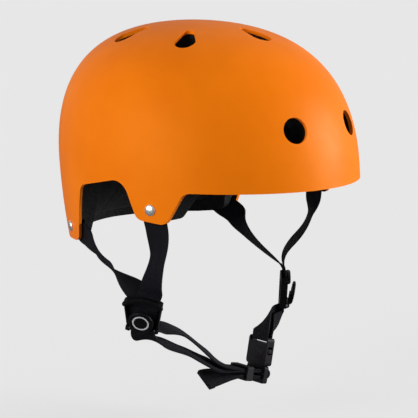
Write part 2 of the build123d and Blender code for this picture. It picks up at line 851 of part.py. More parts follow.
# Buckle socket
with BuildPart() as buckle_socket:
    with BuildSketch(buckle.offset(-buckle_wall / 2)):
        with Locations((0, socket_height / 2)):
            RectangleRounded(buckle_width, socket_height, socket_corner)
    extrude(amount=buckle_wall)
    with BuildSketch(buckle.offset(-buckle_wall / 2 + socket_skin)):
        with Locations((0, mouth_depth / 2)):
            Rectangle(mouth_width, mouth_depth)
    extrude(amount=buckle_wall - 2 * socket_skin, mode=Mode.SUBTRACT)
    with BuildSketch(buckle.offset(-buckle_wall / 2 + socket_skin)):
        with Locations((0, window_foot + window_height / 2)):
            Rectangle(buckle_width + overrun, window_height)
    extrude(amount=buckle_wall - 2 * socket_skin, mode=Mode.SUBTRACT)
    with BuildSketch(buckle.offset(-buckle_wall)):
        with Locations((0, socket_height - strap_bar - strap_slot / 2)):
            Rectangle(strap_slot_width, strap_slot)
    extrude(amount=2 * buckle_wall, mode=Mode.SUBTRACT)
    for face in (strap_bar_wall / 2, -buckle_wall):
        with BuildSketch(buckle.offset(face)):
            with Locations((0, socket_height - strap_bar / 2)):
                Rectangle(strap_slot_width, strap_bar + strap_slot / 2)
        extrude(amount=buckle_wall - strap_bar_wall / 2, mode=Mode.SUBTRACT)
finish(buckle_socket.part, "buckle_socket")

# Buckle plug with its ladder bars and guide prong
slot_levels = [-plug_head - ladder_slot / 2, -plug_head - ladder_slot * 1.5 - ladder_bar]
with BuildPart() as buckle_plug:
    with BuildSketch(buckle.offset(-plug_wall / 2)):
        with Locations((0, -plug_height / 2)):
            RectangleRounded(plug_width, plug_height, plug_corner)
        for level in slot_levels:
            with Locations((0, level)):
                Rectangle(strap_slot_width, ladder_slot, mode=Mode.SUBTRACT)
        with Locations((0, plug_neck_height / 2)):
            Rectangle(plug_neck, plug_neck_height)
    extrude(amount=plug_wall)
    with BuildSketch(buckle.offset(-guide_wall / 2)):
        with Locations((0, guide_height / 2)):
            Rectangle(guide_width, guide_height)
    extrude(amount=guide_wall)
finish(buckle_plug.part, "buckle_plug")

# Release arms, sprung out from the plug's shoulders
for name, way in (("front", 1), ("rear", -1)):
    root_out = mouth_width / 2 - arm_fit
    with BuildPart() as release_arm:
        with BuildSketch(buckle.offset(-arm_wall / 2)):
            with BuildLine():
                FilletPolyline(
                    (way * root_out, plug_neck_height + arm_fit),
                    (way * root_out, arm_grip_foot),
                    (way * (root_out + arm_grip_out), arm_grip_foot + arm_root),
                    (way * (root_out + arm_grip_out), arm_length),
                    (way * (root_out - arm_width / 2), arm_length + arm_root),
                    (way * (root_out - arm_width), arm_length - arm_root),
                    (way * (root_out - arm_width), plug_neck_height + arm_fit),
                    radius=arm_root / 2,
                    close=True,
                )
            make_face()
        extrude(amount=arm_wall)
    finish(release_arm.part, f"release_arm_{name}")

# Right webbing through the ladder: two plies round the middle bar
leg_gap = ladder_slot + ladder_bar
with BuildPart() as right_ladder_wrap:
    for layer in (-ply_depth, ply_depth):
        turn_radius = leg_gap / 2 + layer
        with BuildSketch(buckle_side):
            with BuildLine():
                centre = (slot_levels[0] + slot_levels[1]) / 2
                turn_start = -plug_wall / 2 - ply_gap
                Line((plug_wall / 2 + wrap_lead, centre + turn_radius), (turn_start, centre + turn_radius))
                ThreePointArc((turn_start, centre + turn_radius), (turn_start - turn_radius, centre),
                              (turn_start, centre - turn_radius))
                Line((turn_start, centre - turn_radius), (plug_wall / 2 + wrap_lead, centre - turn_radius))
            trace(line_width=webbing_wall)
        extrude(amount=webbing_width / 2, both=True)
finish(right_ladder_wrap.part, "right_ladder_wrap")

# Chin straps of the right side, from the adjuster to the ladder
right_chin_turn_shares = ((0, 0), (0.3, -3), (0.55, 36), (0.8, 31), (1, 0))
right_chin_route_shares = {
    "upper": Route(0.13, 0.56, right_chin_turn_shares, (0.48, 0.58, 0.9)),
    "lower": Route(0.23, 0.6, right_chin_turn_shares, (0.37, 0.41, 0.56)),
}
in_way = -buckle.z_dir
for end_name, name in (("rear", "upper"), ("front", "lower")):
    entry, leave, way = ply_run("right", end_name)
    foot_way = -adjusters["right"].y_dir
    below = leave + foot_way * adjuster_trail
    layer = ply_depth if name == "upper" else -ply_depth
    level = slot_levels[0] + layer
    end = spot(buckle, 0, level, plug_wall / 2 + wrap_lead)
    lead = spot(buckle, 0, level, plug_wall / 2 + keeper_straight)
    route = right_chin_route_shares[name]
    span = (lead - below).length
    third = (below - entry).length / 3
    straight = (keeper_straight - wrap_lead) / 3
    face = adjusters["right"].z_dir
    stops = [Stop(entry, way, face, 0, third),
             Stop(below, foot_way, face, third, span * route.start_share),
             Stop(lead, in_way, -buckle.y_dir, span * route.end_share, straight),
             Stop(end, in_way, -buckle.y_dir, straight, 0)]
    strap, length = ribbon(stops, 1, route)
    finish(strap, f"right_chin_strap_{name}")
    strap_lengths[f"right_chin_{name}"] = length

# Tail: both plies sewn together past the ladder
tail_start = spot(buckle, 0, slot_levels[1], plug_wall / 2 + wrap_lead)
tail_straight = spot(buckle, 0, slot_levels[1], plug_wall / 2 + keeper_straight)
tail_end = tail_straight + buckle.z_dir * tail_length - buckle.y_dir * tail_droop
tail_end_way = (buckle.z_dir * tail_length - buckle.y_dir * tail_droop * 2).normalized()
tail_route_shares = Route(0, 0, ((0, 0), (1, -38)))
tail_face = -buckle.y_dir
straight = (keeper_straight - wrap_lead) / 3
stops = [Stop(tail_start, -in_way, tail_face, 0, straight),
         Stop(tail_straight, -in_way, tail_face, straight, tail_length / 3),
         Stop(tail_end, tail_end_way, tail_face, tail_length / 3, 0)]
tail, length = ribbon(stops, 1, tail_route_shares, 2 * webbing_wall + ply_gap)
finish(tail, "strap_tail")
strap_lengths["tail"] = length

# Keeper ring round the chin straps and the tail
with BuildPart() as strap_keeper:
    keeper_level = (slot_levels[0] + slot_levels[1]) / 2
    stack = leg_gap + 2 * webbing_wall + ply_gap + 2 * keeper_gap
    room = webbing_width + 2 * keeper_gap
    with BuildSketch(buckle.offset(plug_wall / 2 + keeper_start)):
        with Locations((0, keeper_level)):
            RectangleRounded(room + 2 * keeper_wall, stack + 2 * keeper_wall, keeper_wall)
            Rectangle(room, stack, mode=Mode.SUBTRACT)
    extrude(amount=keeper_length)
finish(strap_keeper.part, "strap_keeper")

for name, length in strap_lengths.items():
    print(name, "strap length", round(length, 1))
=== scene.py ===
"""A skateboard helmet with its chin harness: the looks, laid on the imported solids.

Sizes are in millimetres and are scaled to metres when a piece is placed. X is forward, Y is the
wearer's left and Z is up. The origin is on the mid plane, at the level where the dome is widest.
"""

import logging
from dataclasses import dataclass, replace
from enum import Enum
from math import acos, atan2, ceil, cos, degrees, pi, radians, sin, tan

import bmesh
import bpy
from mathutils import Matrix, Vector


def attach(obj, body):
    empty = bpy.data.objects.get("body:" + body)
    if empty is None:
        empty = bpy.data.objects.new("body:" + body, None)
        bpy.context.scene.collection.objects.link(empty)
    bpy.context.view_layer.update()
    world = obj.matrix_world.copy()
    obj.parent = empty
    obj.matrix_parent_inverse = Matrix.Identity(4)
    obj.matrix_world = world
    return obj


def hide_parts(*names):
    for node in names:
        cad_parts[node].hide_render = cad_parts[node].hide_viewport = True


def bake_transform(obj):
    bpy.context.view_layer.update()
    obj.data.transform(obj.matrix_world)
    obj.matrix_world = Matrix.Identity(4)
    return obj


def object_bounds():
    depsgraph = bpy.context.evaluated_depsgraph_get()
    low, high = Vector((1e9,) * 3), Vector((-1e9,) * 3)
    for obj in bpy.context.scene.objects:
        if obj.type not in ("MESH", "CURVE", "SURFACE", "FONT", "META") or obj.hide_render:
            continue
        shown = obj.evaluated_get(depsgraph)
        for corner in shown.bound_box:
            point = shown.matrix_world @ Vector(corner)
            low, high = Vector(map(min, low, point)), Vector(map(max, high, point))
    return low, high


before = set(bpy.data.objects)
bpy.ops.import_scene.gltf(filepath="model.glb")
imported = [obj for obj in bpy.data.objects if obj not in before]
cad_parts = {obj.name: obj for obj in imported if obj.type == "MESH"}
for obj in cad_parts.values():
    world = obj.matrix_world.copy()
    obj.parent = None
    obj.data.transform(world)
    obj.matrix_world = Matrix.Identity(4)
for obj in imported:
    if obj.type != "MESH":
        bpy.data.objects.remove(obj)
cad_box = [list(corner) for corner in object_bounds()]
log = logging.getLogger("helmet")

Piece = bpy.types.Object
Shape = bmesh.types.BMesh
Socket = bpy.types.NodeSocket

MM = 0.001
SMOOTH_ANGLE = 32.0
FLAT_ANGLE = 1.0
# How far the handles of a quarter circle's curve reach, in radii.
CIRCLE_PULL = 0.5523


class Body(Enum):
    """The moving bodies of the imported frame."""

    HELMET = "helmet"
    HARNESS = "chin_harness"
    PLUG = "buckle_plug"
    KEEPER = "strap_keeper"
    FRONT_ARM = "release_arm_front"
    REAR_ARM = "release_arm_rear"
    RIGHT_LEVER = "right_lever"
    LEFT_LEVER = "left_lever"


class Slot(Enum):
    """Material slot names that are passed along with the new pieces; nothing in the script stores them."""

    SHELL = "shell"
    PAD = "pad"
    RIVET = "rivet"
    WEBBING = "webbing"
    PLASTIC = "black_plastic"
    RUBBER = "keeper_rubber"


def ink(red: float, green: float, blue: float) -> tuple[float, float, float, float]:
    """A screen colour as linear light.

    Args:
        red: The red part, from 0 to 255.
        green: The green part, from 0 to 255.
        blue: The blue part, from 0 to 255.

    Returns:
        The colour as linear red, green, blue and alpha.
    """
    parts = [value / 255 for value in (red, green, blue)]
    linear = [part / 12.92 if part <= 0.04045 else ((part + 0.055) / 1.055) ** 2.4 for part in parts]
    return (*linear, 1.0)


class Graph:
    """The node tree of one material, with short ways to add what the finishes need."""

    def __init__(self, name: str) -> None:
        """Starts a material with its shader.

        Args:
            name: The material's name.
        """
        self.material = bpy.data.materials.new(name)
        self.material.use_nodes = True
        self.tree = self.material.node_tree
        self.shader = self.tree.nodes["Principled BSDF"]

    def feed(self, socket: Socket, value: object) -> None:
        """Links an input to another socket, or gives it a plain value.

        Args:
            socket: The input.
            value: The socket or value that it gets.
        """
        if isinstance(value, Socket):
            self.tree.links.new(value, socket)
        else:
            socket.default_value = value

    def node(self, kind: str, inputs: dict | None = None, **settings: object) -> bpy.types.Node:
        """Adds a node.

        Args:
            kind: The node's type.
            inputs: Values or sockets by input name or number.
            settings: The node's own settings.

        Returns:
            The new node.
        """
        made = self.tree.nodes.new(kind)
        for key, value in settings.items():
            setattr(made, key, value)
        for key, value in (inputs or {}).items():
            self.feed(made.inputs[key], value)
        return made

    def place(self, source: str = "Object") -> Socket:
        """The coordinates of a surface point."""
        return self.node("ShaderNodeTexCoord").outputs[source]

    def noise(self, size: float, detail: float = 3.0, roughness: float = 0.5) -> Socket:
        """A cloudy value from 0 to 1, with clouds of a size in millimetres and finer layers in them."""
        inputs = {"Vector": self.place(), "Scale": 1 / (size * MM), "Detail": detail, "Roughness": roughness}
        return self.node("ShaderNodeTexNoise", inputs).outputs[0]

    def cells(self, size: float, feature: str = "F1") -> Socket:
        """A distance in a packing of round cells of a size in millimetres."""
        inputs = {"Vector": self.place(), "Scale": 1 / (size * MM)}
        return self.node("ShaderNodeTexVoronoi", inputs, feature=feature).outputs["Distance"]

    def sum(self, operation: str, *values: object) -> Socket:
        """The result of a calculation on numbers or sockets."""
        return self.node("ShaderNodeMath", dict(enumerate(values)), operation=operation).outputs[0]

    def ramp(self, value: Socket, low: tuple, high: tuple, start: float = 0.3,
             end: float = 0.7) -> Socket:
        """A colour that goes from one to another with a value.

        Args:
            value: The value's socket.
            low: The colour up to the start.
            high: The colour from the end.
            start: Where the change begins.
            end: Where the change is over.

        Returns:
            The colour's socket.
        """
        made = self.node("ShaderNodeValToRGB", {0: value})
        stops = made.color_ramp.elements
        stops[0].position, stops[0].color = start, low
        stops[1].position, stops[1].color = end, high
        return made.outputs[0]

    def span(self, value: Socket, low: float, high: float, start: float = 0.3,
             end: float = 0.7) -> Socket:
        """A number that goes from low to high while the value goes from start to end."""
        return self.node("ShaderNodeMapRange", {0: value, 1: start, 2: end, 3: low, 4: high}).outputs[0]

    def set(self, **values: object) -> None:
        """Gives the shader its values, with spaces in the socket names written as underscores."""
        for key, value in values.items():
            self.feed(self.shader.inputs[key.replace("_", " ")], value)

    def bump(self, *layers: tuple[Socket, float]) -> None:
        """Roughens the surface.

        Args:
            layers: Heights with their depths in millimetres.
        """
        normal = None
        for height, depth in layers:
            inputs = {"Height": height, "Distance": depth * MM}
            if normal:
                inputs["Normal"] = normal
            normal = self.node("ShaderNodeBump", inputs).outputs[0]
        self.set(Normal=normal)


@dataclass(frozen=True)
class Finish:
    """What a surface is made of."""

    name: str

    def dress(self, graph: Graph) -> None:
        """Adds the finish to a material.

        Args:
            graph: The material's nodes.
        """
        raise NotImplementedError

    def material(self) -> bpy.types.Material:
        """The finish's material, made once."""
        found = bpy.data.materials.get(self.name)
        if found is None:
            graph = Graph(self.name)
            self.dress(graph)
            found = graph.material
        return found


@dataclass(frozen=True)
class Clouded(Finish):
    """A finish that drifts between two colours and roughnesses in soft clouds, with a fine grain."""

    low: tuple
    high: tuple
    cloud: tuple
    rough: tuple
    grain: tuple
    depth: float
    change: tuple = (0.3, 0.7)
    specular: float = 0.5
    metallic: float = 0.0

    def dress(self, graph: Graph) -> None:
        """Adds the clouds and the grain to a material.

        Args:
            graph: The material's nodes.
        """
        clouds = graph.noise(*self.cloud)
        graph.set(
            Base_Color=graph.ramp(clouds, self.low, self.high, *self.change),
            Roughness=graph.span(clouds, *self.rough),
            Specular_IOR_Level=self.specular,
            Metallic=self.metallic,
        )
        graph.bump((graph.noise(*self.grain), self.depth))


@dataclass(frozen=True)
class ShellPaint(Finish):
    """Satin orange paint on the moulded shell, with a faint orange peel."""

    name: str = "satin_shell_paint"
    bright: tuple = ink(250, 128, 14)
    deep: tuple = ink(243, 121, 11)
    shine: tuple = ink(255, 182, 96)
    specular: float = 0.16
    cloud: tuple = (45.0, 4.0)
    satin_cloud: tuple = (9.0, 5.0)
    rough: tuple = (0.4, 0.48)
    peel: tuple = (2.4, 2.0)
    peel_depth: float = 0.035
    speck: tuple = (0.9, 1.0)
    speck_depth: float = 0.008

    def dress(self, graph: Graph) -> None:
        """Adds the paint to a material.

        Args:
            graph: The material's nodes.
        """
        graph.set(
            Base_Color=graph.ramp(graph.noise(*self.cloud), self.deep, self.bright),
            Roughness=graph.span(graph.noise(*self.satin_cloud), *self.rough),
            Specular_IOR_Level=self.specular,
            Specular_Tint=self.shine,
        )
        graph.bump((graph.noise(*self.peel), self.peel_depth), (graph.noise(*self.speck), self.speck_depth))


@dataclass(frozen=True)
class BeadFoam(Finish):
    """Black moulded bead foam: swollen beads with dark seams."""

    name: str = "bead_foam"
    bead: float = 3.2
    skin: tuple = ink(18, 17, 20)
    seam: tuple = ink(6, 6, 7)
    seam_width: float = 0.16
    swell_width: float = 0.22
    swell_depth: float = 0.22
    cloud: float = 5.0
    rough: tuple = (0.62, 0.8)
    specular: float = 0.2
    pore: float = 0.7
    pore_depth: float = 0.04

    def dress(self, graph: Graph) -> None:
        """Adds the foam to a material.

        Args:
            graph: The material's nodes.
        """
        edge = graph.cells(self.bead, "DISTANCE_TO_EDGE")
        graph.set(
            Base_Color=graph.ramp(edge, self.seam, self.skin, 0.0, self.seam_width),
            Roughness=graph.span(graph.noise(self.cloud), *self.rough),
            Specular_IOR_Level=self.specular,
        )
        swell = graph.span(edge, 0.0, 1.0, 0.0, self.swell_width)
        graph.bump((swell, self.swell_depth), (graph.noise(self.pore), self.pore_depth))


@dataclass(frozen=True)
class PadCloth(Finish):
    """Brushed black pad cloth with a fine knit and pale flecks."""

    name: str = "pad_cloth"
    knit: float = 1.1
    yarn: tuple = ink(24, 23, 26)
    gap: tuple = ink(8, 8, 9)
    fleck: tuple = ink(96, 94, 98)
    knit_change: tuple = (0.25, 0.75)
    knit_depth: float = 0.22
    fleck_cloud: tuple = (1.7, 2.0, 0.7)
    fleck_change: tuple = (0.66, 0.72)
    cloud: float = 6.0
    rough: tuple = (0.82, 0.95)
    sheen: float = 0.06
    specular: float = 0.15
    quilt: float = 12.0
    quilt_depth: float = 0.3

    def dress(self, graph: Graph) -> None:
        """Adds the cloth to a material.

        Args:
            graph: The material's nodes.
        """
        loops = graph.cells(self.knit)
        ground = graph.ramp(loops, self.yarn, self.gap, *self.knit_change)
        flecks = graph.span(graph.noise(*self.fleck_cloud), 0.0, 1.0, *self.fleck_change)
        mix = graph.node("ShaderNodeMix", {0: flecks, 6: ground, 7: self.fleck}, data_type="RGBA")
        graph.set(
            Base_Color=mix.outputs[2],
            Roughness=graph.span(graph.noise(self.cloud), *self.rough),
            Sheen_Weight=self.sheen,
            Sheen_Roughness=0.5,
            Specular_IOR_Level=self.specular,
        )
        graph.bump((graph.sum("SUBTRACT", 1.0, loops), self.knit_depth),
                   (graph.noise(self.quilt), self.quilt_depth))


@dataclass(frozen=True)
class TwillWebbing(Finish):
    """Black polyester webbing with a herringbone of fine diagonal ribs, whose crests carry a painted
    highlight and whose valleys carry painted shade.

    It reads the piece's own map: across from 0 to 1, and along in widths.
    """

    name: str = "twill_webbing"
    ribs: float = 15.0
    chevrons: float = 4.0
    threads: float = 26.0
    # crest is a painted highlight on the rib crests and valley_shade is painted shade in the rib valleys of
    # the black webbing.
    crest: tuple = ink(36, 34, 43)
    valley_shade: tuple = ink(3, 3, 4)
    change: tuple = (0.8, 1.25)
    rough: tuple = (0.62, 0.8)
    specular: float = 0.1
    fuzz: tuple = (0.8, 2.0)
    fuzz_share: float = 0.3
    rib_depth: float = 0.16
    thread_depth: float = 0.05

    def dress(self, graph: Graph) -> None:
        """Adds the webbing to a material.

        Args:
            graph: The material's nodes.
        """
        parts = graph.node("ShaderNodeSeparateXYZ", {0: graph.place("UV")})
        across, along = parts.outputs[0], parts.outputs[1]
        folded = graph.sum("PINGPONG", graph.sum("MULTIPLY", across, self.chevrons), 1.0)
        slant = graph.sum("MULTIPLY", folded, 0.5)
        phase = graph.sum("MULTIPLY", graph.sum("ADD", along, slant), 2 * pi * self.ribs)
        rib = graph.sum("MULTIPLY_ADD", graph.sum("SINE", phase), 0.5, 0.5)
        threads = graph.sum("SINE", graph.sum("MULTIPLY", across, 2 * pi * self.threads))
        fuzz = graph.noise(*self.fuzz)
        # Random fuzz mixed with rib height: the colour ramp below paints a highlight on the crests and shade
        # in the valleys.
        fuzz_and_painted_rib_light = graph.sum("MULTIPLY_ADD", fuzz, self.fuzz_share, rib)
        graph.set(
            Base_Color=graph.ramp(fuzz_and_painted_rib_light, self.valley_shade, self.crest, *self.change),
            Roughness=graph.span(fuzz, *self.rough),
            Specular_IOR_Level=self.specular,
        )
        graph.bump((rib, self.rib_depth), (graph.sum("MULTIPLY", threads, 0.5), self.thread_depth),
                   (fuzz, self.thread_depth))


@dataclass(frozen=True)
class SewingThread(Clouded):
    """Twisted black thread, a little glossier than the webbing."""

    name: str = "sewing_thread"
    low: tuple = ink(14, 14, 15)
    high: tuple = ink(36, 35, 38)
    cloud: tuple = (0.35, 2.0)
    rough: tuple = (0.5, 0.5)
    grain: tuple = (0.35, 2.0)
    depth: float = 0.05


@dataclass(frozen=True)
class MouldedPlastic(Clouded):
    """Black moulded plastic with a spark-eroded grain and rubbed patches."""

    name: str = "moulded_plastic"
    low: tuple = ink(9, 8, 10)
    high: tuple = ink(16, 15, 17)
    cloud: tuple = (7.0, 5.0, 0.6)
    rough: tuple = (0.34, 0.48)
    grain: tuple = (0.45, 2.0)
    depth: float = 0.02
    change: tuple = (0.4, 0.75)
    specular: float = 0.11


@dataclass(frozen=True)
class KeeperRubber(Clouded):
    """Matt black rubber with a dusty bloom."""

    name: str = "keeper_rubber_skin"
    low: tuple = ink(15, 14, 16)
    high: tuple = ink(26, 25, 27)
    cloud: tuple = (3.0, 5.0, 0.65)
    rough: tuple = (0.6, 0.75)
    grain: tuple = (0.6, 3.0)
    depth: float = 0.03
    specular: float = 0.25


@dataclass(frozen=True)
class TurnedMetal(Clouded):
    """Plated metal with a fine grain and soft handling marks."""

    name: str = "plated_rivet"
    low: tuple = ink(230, 232, 230)
    high: tuple = ink(250, 251, 250)
    cloud: tuple = (2.2, 6.0, 0.65)
    rough: tuple = (0.2, 0.34)
    grain: tuple = (0.3, 2.0)
    depth: float = 0.004
    metallic: float = 1.0


@dataclass(frozen=True)
class HookTape(Finish):
    """The hook side of a touch fastener."""

    name: str = "hook_tape_face"
    hook: float = 0.9
    tip: tuple = ink(48, 48, 50)
    ground: tuple = ink(14, 14, 15)
    change: tuple = (0.15, 0.5)
    rough: float = 0.6
    depth: float = 0.4

    def dress(self, graph: Graph) -> None:
        """Adds the tape to a material.

        Args:
            graph: The material's nodes.
        """
        hooks = graph.cells(self.hook)
        graph.set(Base_Color=graph.ramp(hooks, self.tip, self.ground, *self.change), Roughness=self.rough)
        graph.bump((graph.sum("SUBTRACT", 1.0, hooks), self.depth))


@dataclass(frozen=True)
class BadgeInlay(Clouded):
    """The pale printed ring on a lever's disc, with a little wear."""

    name: str = "badge_inlay"
    low: tuple = ink(206, 207, 210)
    high: tuple = ink(150, 150, 154)
    cloud: tuple = (1.4, 5.0, 0.7)
    rough: tuple = (0.35, 0.5)
    grain: tuple = (0.5, 3.0)
    depth: float = 0.01
    change: tuple = (0.58, 0.72)


@dataclass(frozen=True)
class StudioPaper(Finish):
    """Plain pale paper under the object, which looks paler to the camera than it lights the rest."""

    name: str = "studio_paper"
    tone: tuple = ink(150, 150, 150)
    pale: tuple = ink(243, 243, 243)
    glow: float = 0.66

    def dress(self, graph: Graph) -> None:
        """Adds the paper to a material.

        Args:
            graph: The material's nodes.
        """
        seen = graph.node("ShaderNodeLightPath").outputs["Is Camera Ray"]
        graph.set(
            Base_Color=self.tone,
            Roughness=0.95,
            Specular_IOR_Level=0.0,
            Emission_Color=self.pale,
            Emission_Strength=graph.sum("MULTIPLY", seen, self.glow),
        )


SHELL_PAINT = ShellPaint()
BEAD_FOAM = BeadFoam()
PAD_CLOTH = PadCloth()
TWILL = TwillWebbing()
THREAD = SewingThread()
PLASTIC = MouldedPlastic()
LINING = MouldedPlastic("shell_lining", ink(9, 8, 9), ink(14, 13, 14), rough=(0.55, 0.69))
BUCKLE_PLASTIC = MouldedPlastic("buckle_plastic", ink(24, 22, 25), ink(33, 30, 34), rough=(0.38, 0.52))
RUBBER = KeeperRubber()
RIVET_METAL = TurnedMetal()
STEEL = TurnedMetal("plain_steel", ink(128, 128, 134), ink(168, 168, 172), rough=(0.3, 0.44))
HOOKS = HookTape()
INLAY = BadgeInlay()


def scene_object(name: str, data: bpy.types.ID) -> Piece:
    """Links a mesh, a lamp or a camera to the scene as an object at the origin.

    Args:
        name: The object's name.
        data: What it shows or does.

    Returns:
        The object.
    """
    made = bpy.data.objects.new(name, data)
    bpy.context.scene.collection.objects.link(made)
    return made


def place(name: str, shape: Shape, finish: Finish, angle: float = SMOOTH_ANGLE) -> Piece:
    """Turns a shape in millimetres into a smooth piece in metres.

    Args:
        name: The piece's name.
        shape: The shape, which is used up.
        finish: The piece's finish.
        angle: Edges sharper than this many degrees stay crisp.

    Returns:
        The piece.
    """
    bmesh.ops.scale(shape, vec=(MM, MM, MM), verts=shape.verts)
    mesh = bpy.data.meshes.new(name)
    shape.to_mesh(mesh)
    shape.free()
    mesh.shade_smooth()
    mesh.set_sharp_from_angle(angle=radians(angle))
    mesh.materials.append(finish.material())
    return scene_object(name, mesh)


def bake(piece: Piece) -> Piece:
    """Applies a piece's modifiers.

    Args:
        piece: The piece.

    Returns:
        The same piece with a plain mesh.
    """
    graph = bpy.context.evaluated_depsgraph_get()
    mesh = bpy.data.meshes.new_from_object(piece.evaluated_get(graph), depsgraph=graph)
    piece.modifiers.clear()
    piece.data = mesh
    return piece


def round_edges(piece: Piece, width: float, segments: int, angle: float) -> bpy.types.Modifier:
    """Gives a piece a modifier that rounds its edges.

    Args:
        piece: The piece.
        width: The width of the rounding in millimetres.
        segments: How many faces the rounding has.
        angle: The least angle of an edge that is rounded, in degrees.

    Returns:
        The modifier.
    """
    rounding = piece.modifiers.new("edge", "BEVEL")
    rounding.width = width * MM
    rounding.segments = segments
    rounding.limit_method = "ANGLE"
    rounding.angle_limit = radians(angle)
    return rounding


def soften(piece: Piece, width: float, segments: int = 3, angle: float = 30.0) -> None:
    """Rounds a moulded piece's edges and evens its shading.

    Args:
        piece: The piece.
        width: The width of the rounding in millimetres.
        segments: How many faces the rounding has.
        angle: The least angle of an edge that is rounded, in degrees.
    """
    round_edges(piece, width, segments, angle).miter_outer = "MITER_ARC"
    piece.modifiers.new("shading", "WEIGHTED_NORMAL").keep_sharp = True
    bake(piece)


def bevel(shape: Shape, parts: list, offset: float, segments: int, affect: str = "EDGES") -> None:
    """Rounds some edges of a shape, or with VERTICES some corners of a flat face."""
    bmesh.ops.bevel(shape, geom=parts, offset=offset, offset_type="OFFSET", segments=segments, profile=0.5,
                    affect=affect, material=-1)


def rod(shape: Shape, radius: float, depth: float, segments: int, matrix: Matrix) -> list[bmesh.types.BMVert]:
    """Adds a round bar along its own Z with flat ends, and gives its points."""
    return bmesh.ops.create_cone(shape, cap_ends=True, segments=segments, radius1=radius, radius2=radius,
                                 depth=depth, matrix=matrix)["verts"]


def spun(shape: Shape, line: list[tuple[float, float]], steps: int) -> list[bmesh.types.BMVert]:
    """Turns a profile all round Z into a shape, and joins the points that meet.

    Args:
        shape: The shape that gets the turned skin.
        line: The radius and height of each point of the profile.
        steps: How many faces it has all round.

    Returns:
        The new points.
    """
    before = set(shape.verts)
    verts = [shape.verts.new((radius, 0, height)) for radius, height in line]
    edges = [shape.edges.new(pair) for pair in zip(verts, verts[1:])]
    bmesh.ops.spin(shape, geom=verts + edges, cent=(0, 0, 0), axis=(0, 0, 1), angle=2 * pi, steps=steps,
                   use_merge=True)
    bmesh.ops.remove_doubles(shape, verts=[vert for vert in shape.verts if vert not in before], dist=0.01)
    return [vert for vert in shape.verts if vert not in before]


def merged_copy(node: str) -> Shape:
    """A node's shape with its loose triangles joined, in millimetres.

    Args:
        node: The node's name.

    Returns:
        The shape.
    """
    shape = bmesh.new()
    shape.from_mesh(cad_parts[node].data)
    bmesh.ops.remove_doubles(shape, verts=shape.verts, dist=1e-6)
    bmesh.ops.scale(shape, vec=(1 / MM, 1 / MM, 1 / MM), verts=shape.verts)
    return shape


def rounded(node: str, body: Body, finish: Finish, slot: Slot, edge: float) -> None:
    """Adds a moulded piece: a node's shape with flat faces joined and its edges rounded.

    Args:
        node: The node that it stands for.
        body: The body that it rides on.
        finish: Its finish.
        slot: Its material slot.
        edge: The width of the rounding in millimetres.
    """
    shape = merged_copy(node)
    bmesh.ops.dissolve_limit(shape, angle_limit=radians(FLAT_ANGLE), verts=shape.verts, edges=shape.edges)
    piece = place(f"{node}_moulded", shape, finish)
    soften(piece, edge)
    settle(piece, body, slot, node)


def settle(piece: Piece, body: Body, slot: Slot, *nodes: str) -> None:
    """Puts a piece on its body and in the place of its nodes."""
    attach(piece, body.value)
    enter(piece, slot, *nodes)


def enter(piece: Piece, slot: Slot, *nodes: str) -> None:
    """Hides the nodes that a piece stands for, and reports it.

    Args:
        piece: The piece.
        slot: Its material slot; not used.
        nodes: The nodes that it stands for.
    """
    if nodes:
        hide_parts(*nodes)
    log.info("%s: %d faces", piece.name, len(piece.data.polygons))


def recoat(node: str, finish: Finish) -> None:
    """Gives a node that stays a better material.

    Args:
        node: The node's name.
        finish: Its finish.
    """
    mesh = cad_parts[node].data
    mesh.materials.clear()
    mesh.materials.append(finish.material())
    log.info("%s: kept from the solids", node)


@dataclass(frozen=True)
class Plane:
    """A place with its own axes: local Z is the plane's normal."""

    origin: Vector
    across: Vector
    up: Vector
    out: Vector

    @classmethod
    def on(cls, origin: Vector, across: Vector, out: Vector) -> "Plane":
        """A plane from its origin, its local X and its normal."""
        return cls(origin, across.normalized(), out.cross(across).normalized(), out.normalized())

    def spot(self, across: float, up: float, out: float) -> Vector:
        """The place with these local distances."""
        return self.origin + self.across * across + self.up * up + self.out * out

    def matrix(self, shift: tuple = (0, 0, 0), size: tuple = (1, 1, 1)) -> Matrix:
        """The way from a shape's own places to common ones, after a local stretch and shift."""
        turn = Matrix((self.across, self.up, self.out)).transposed().to_4x4()
        local = Matrix.Translation(shift) @ Matrix.Diagonal((*size, 1))
        return Matrix.Translation(self.origin) @ turn @ local


def turned(way: Vector, axis: Vector, angle: float) -> Vector:
    """A direction turned about an axis by some degrees."""
    return Matrix.Rotation(radians(angle), 3, axis) @ way


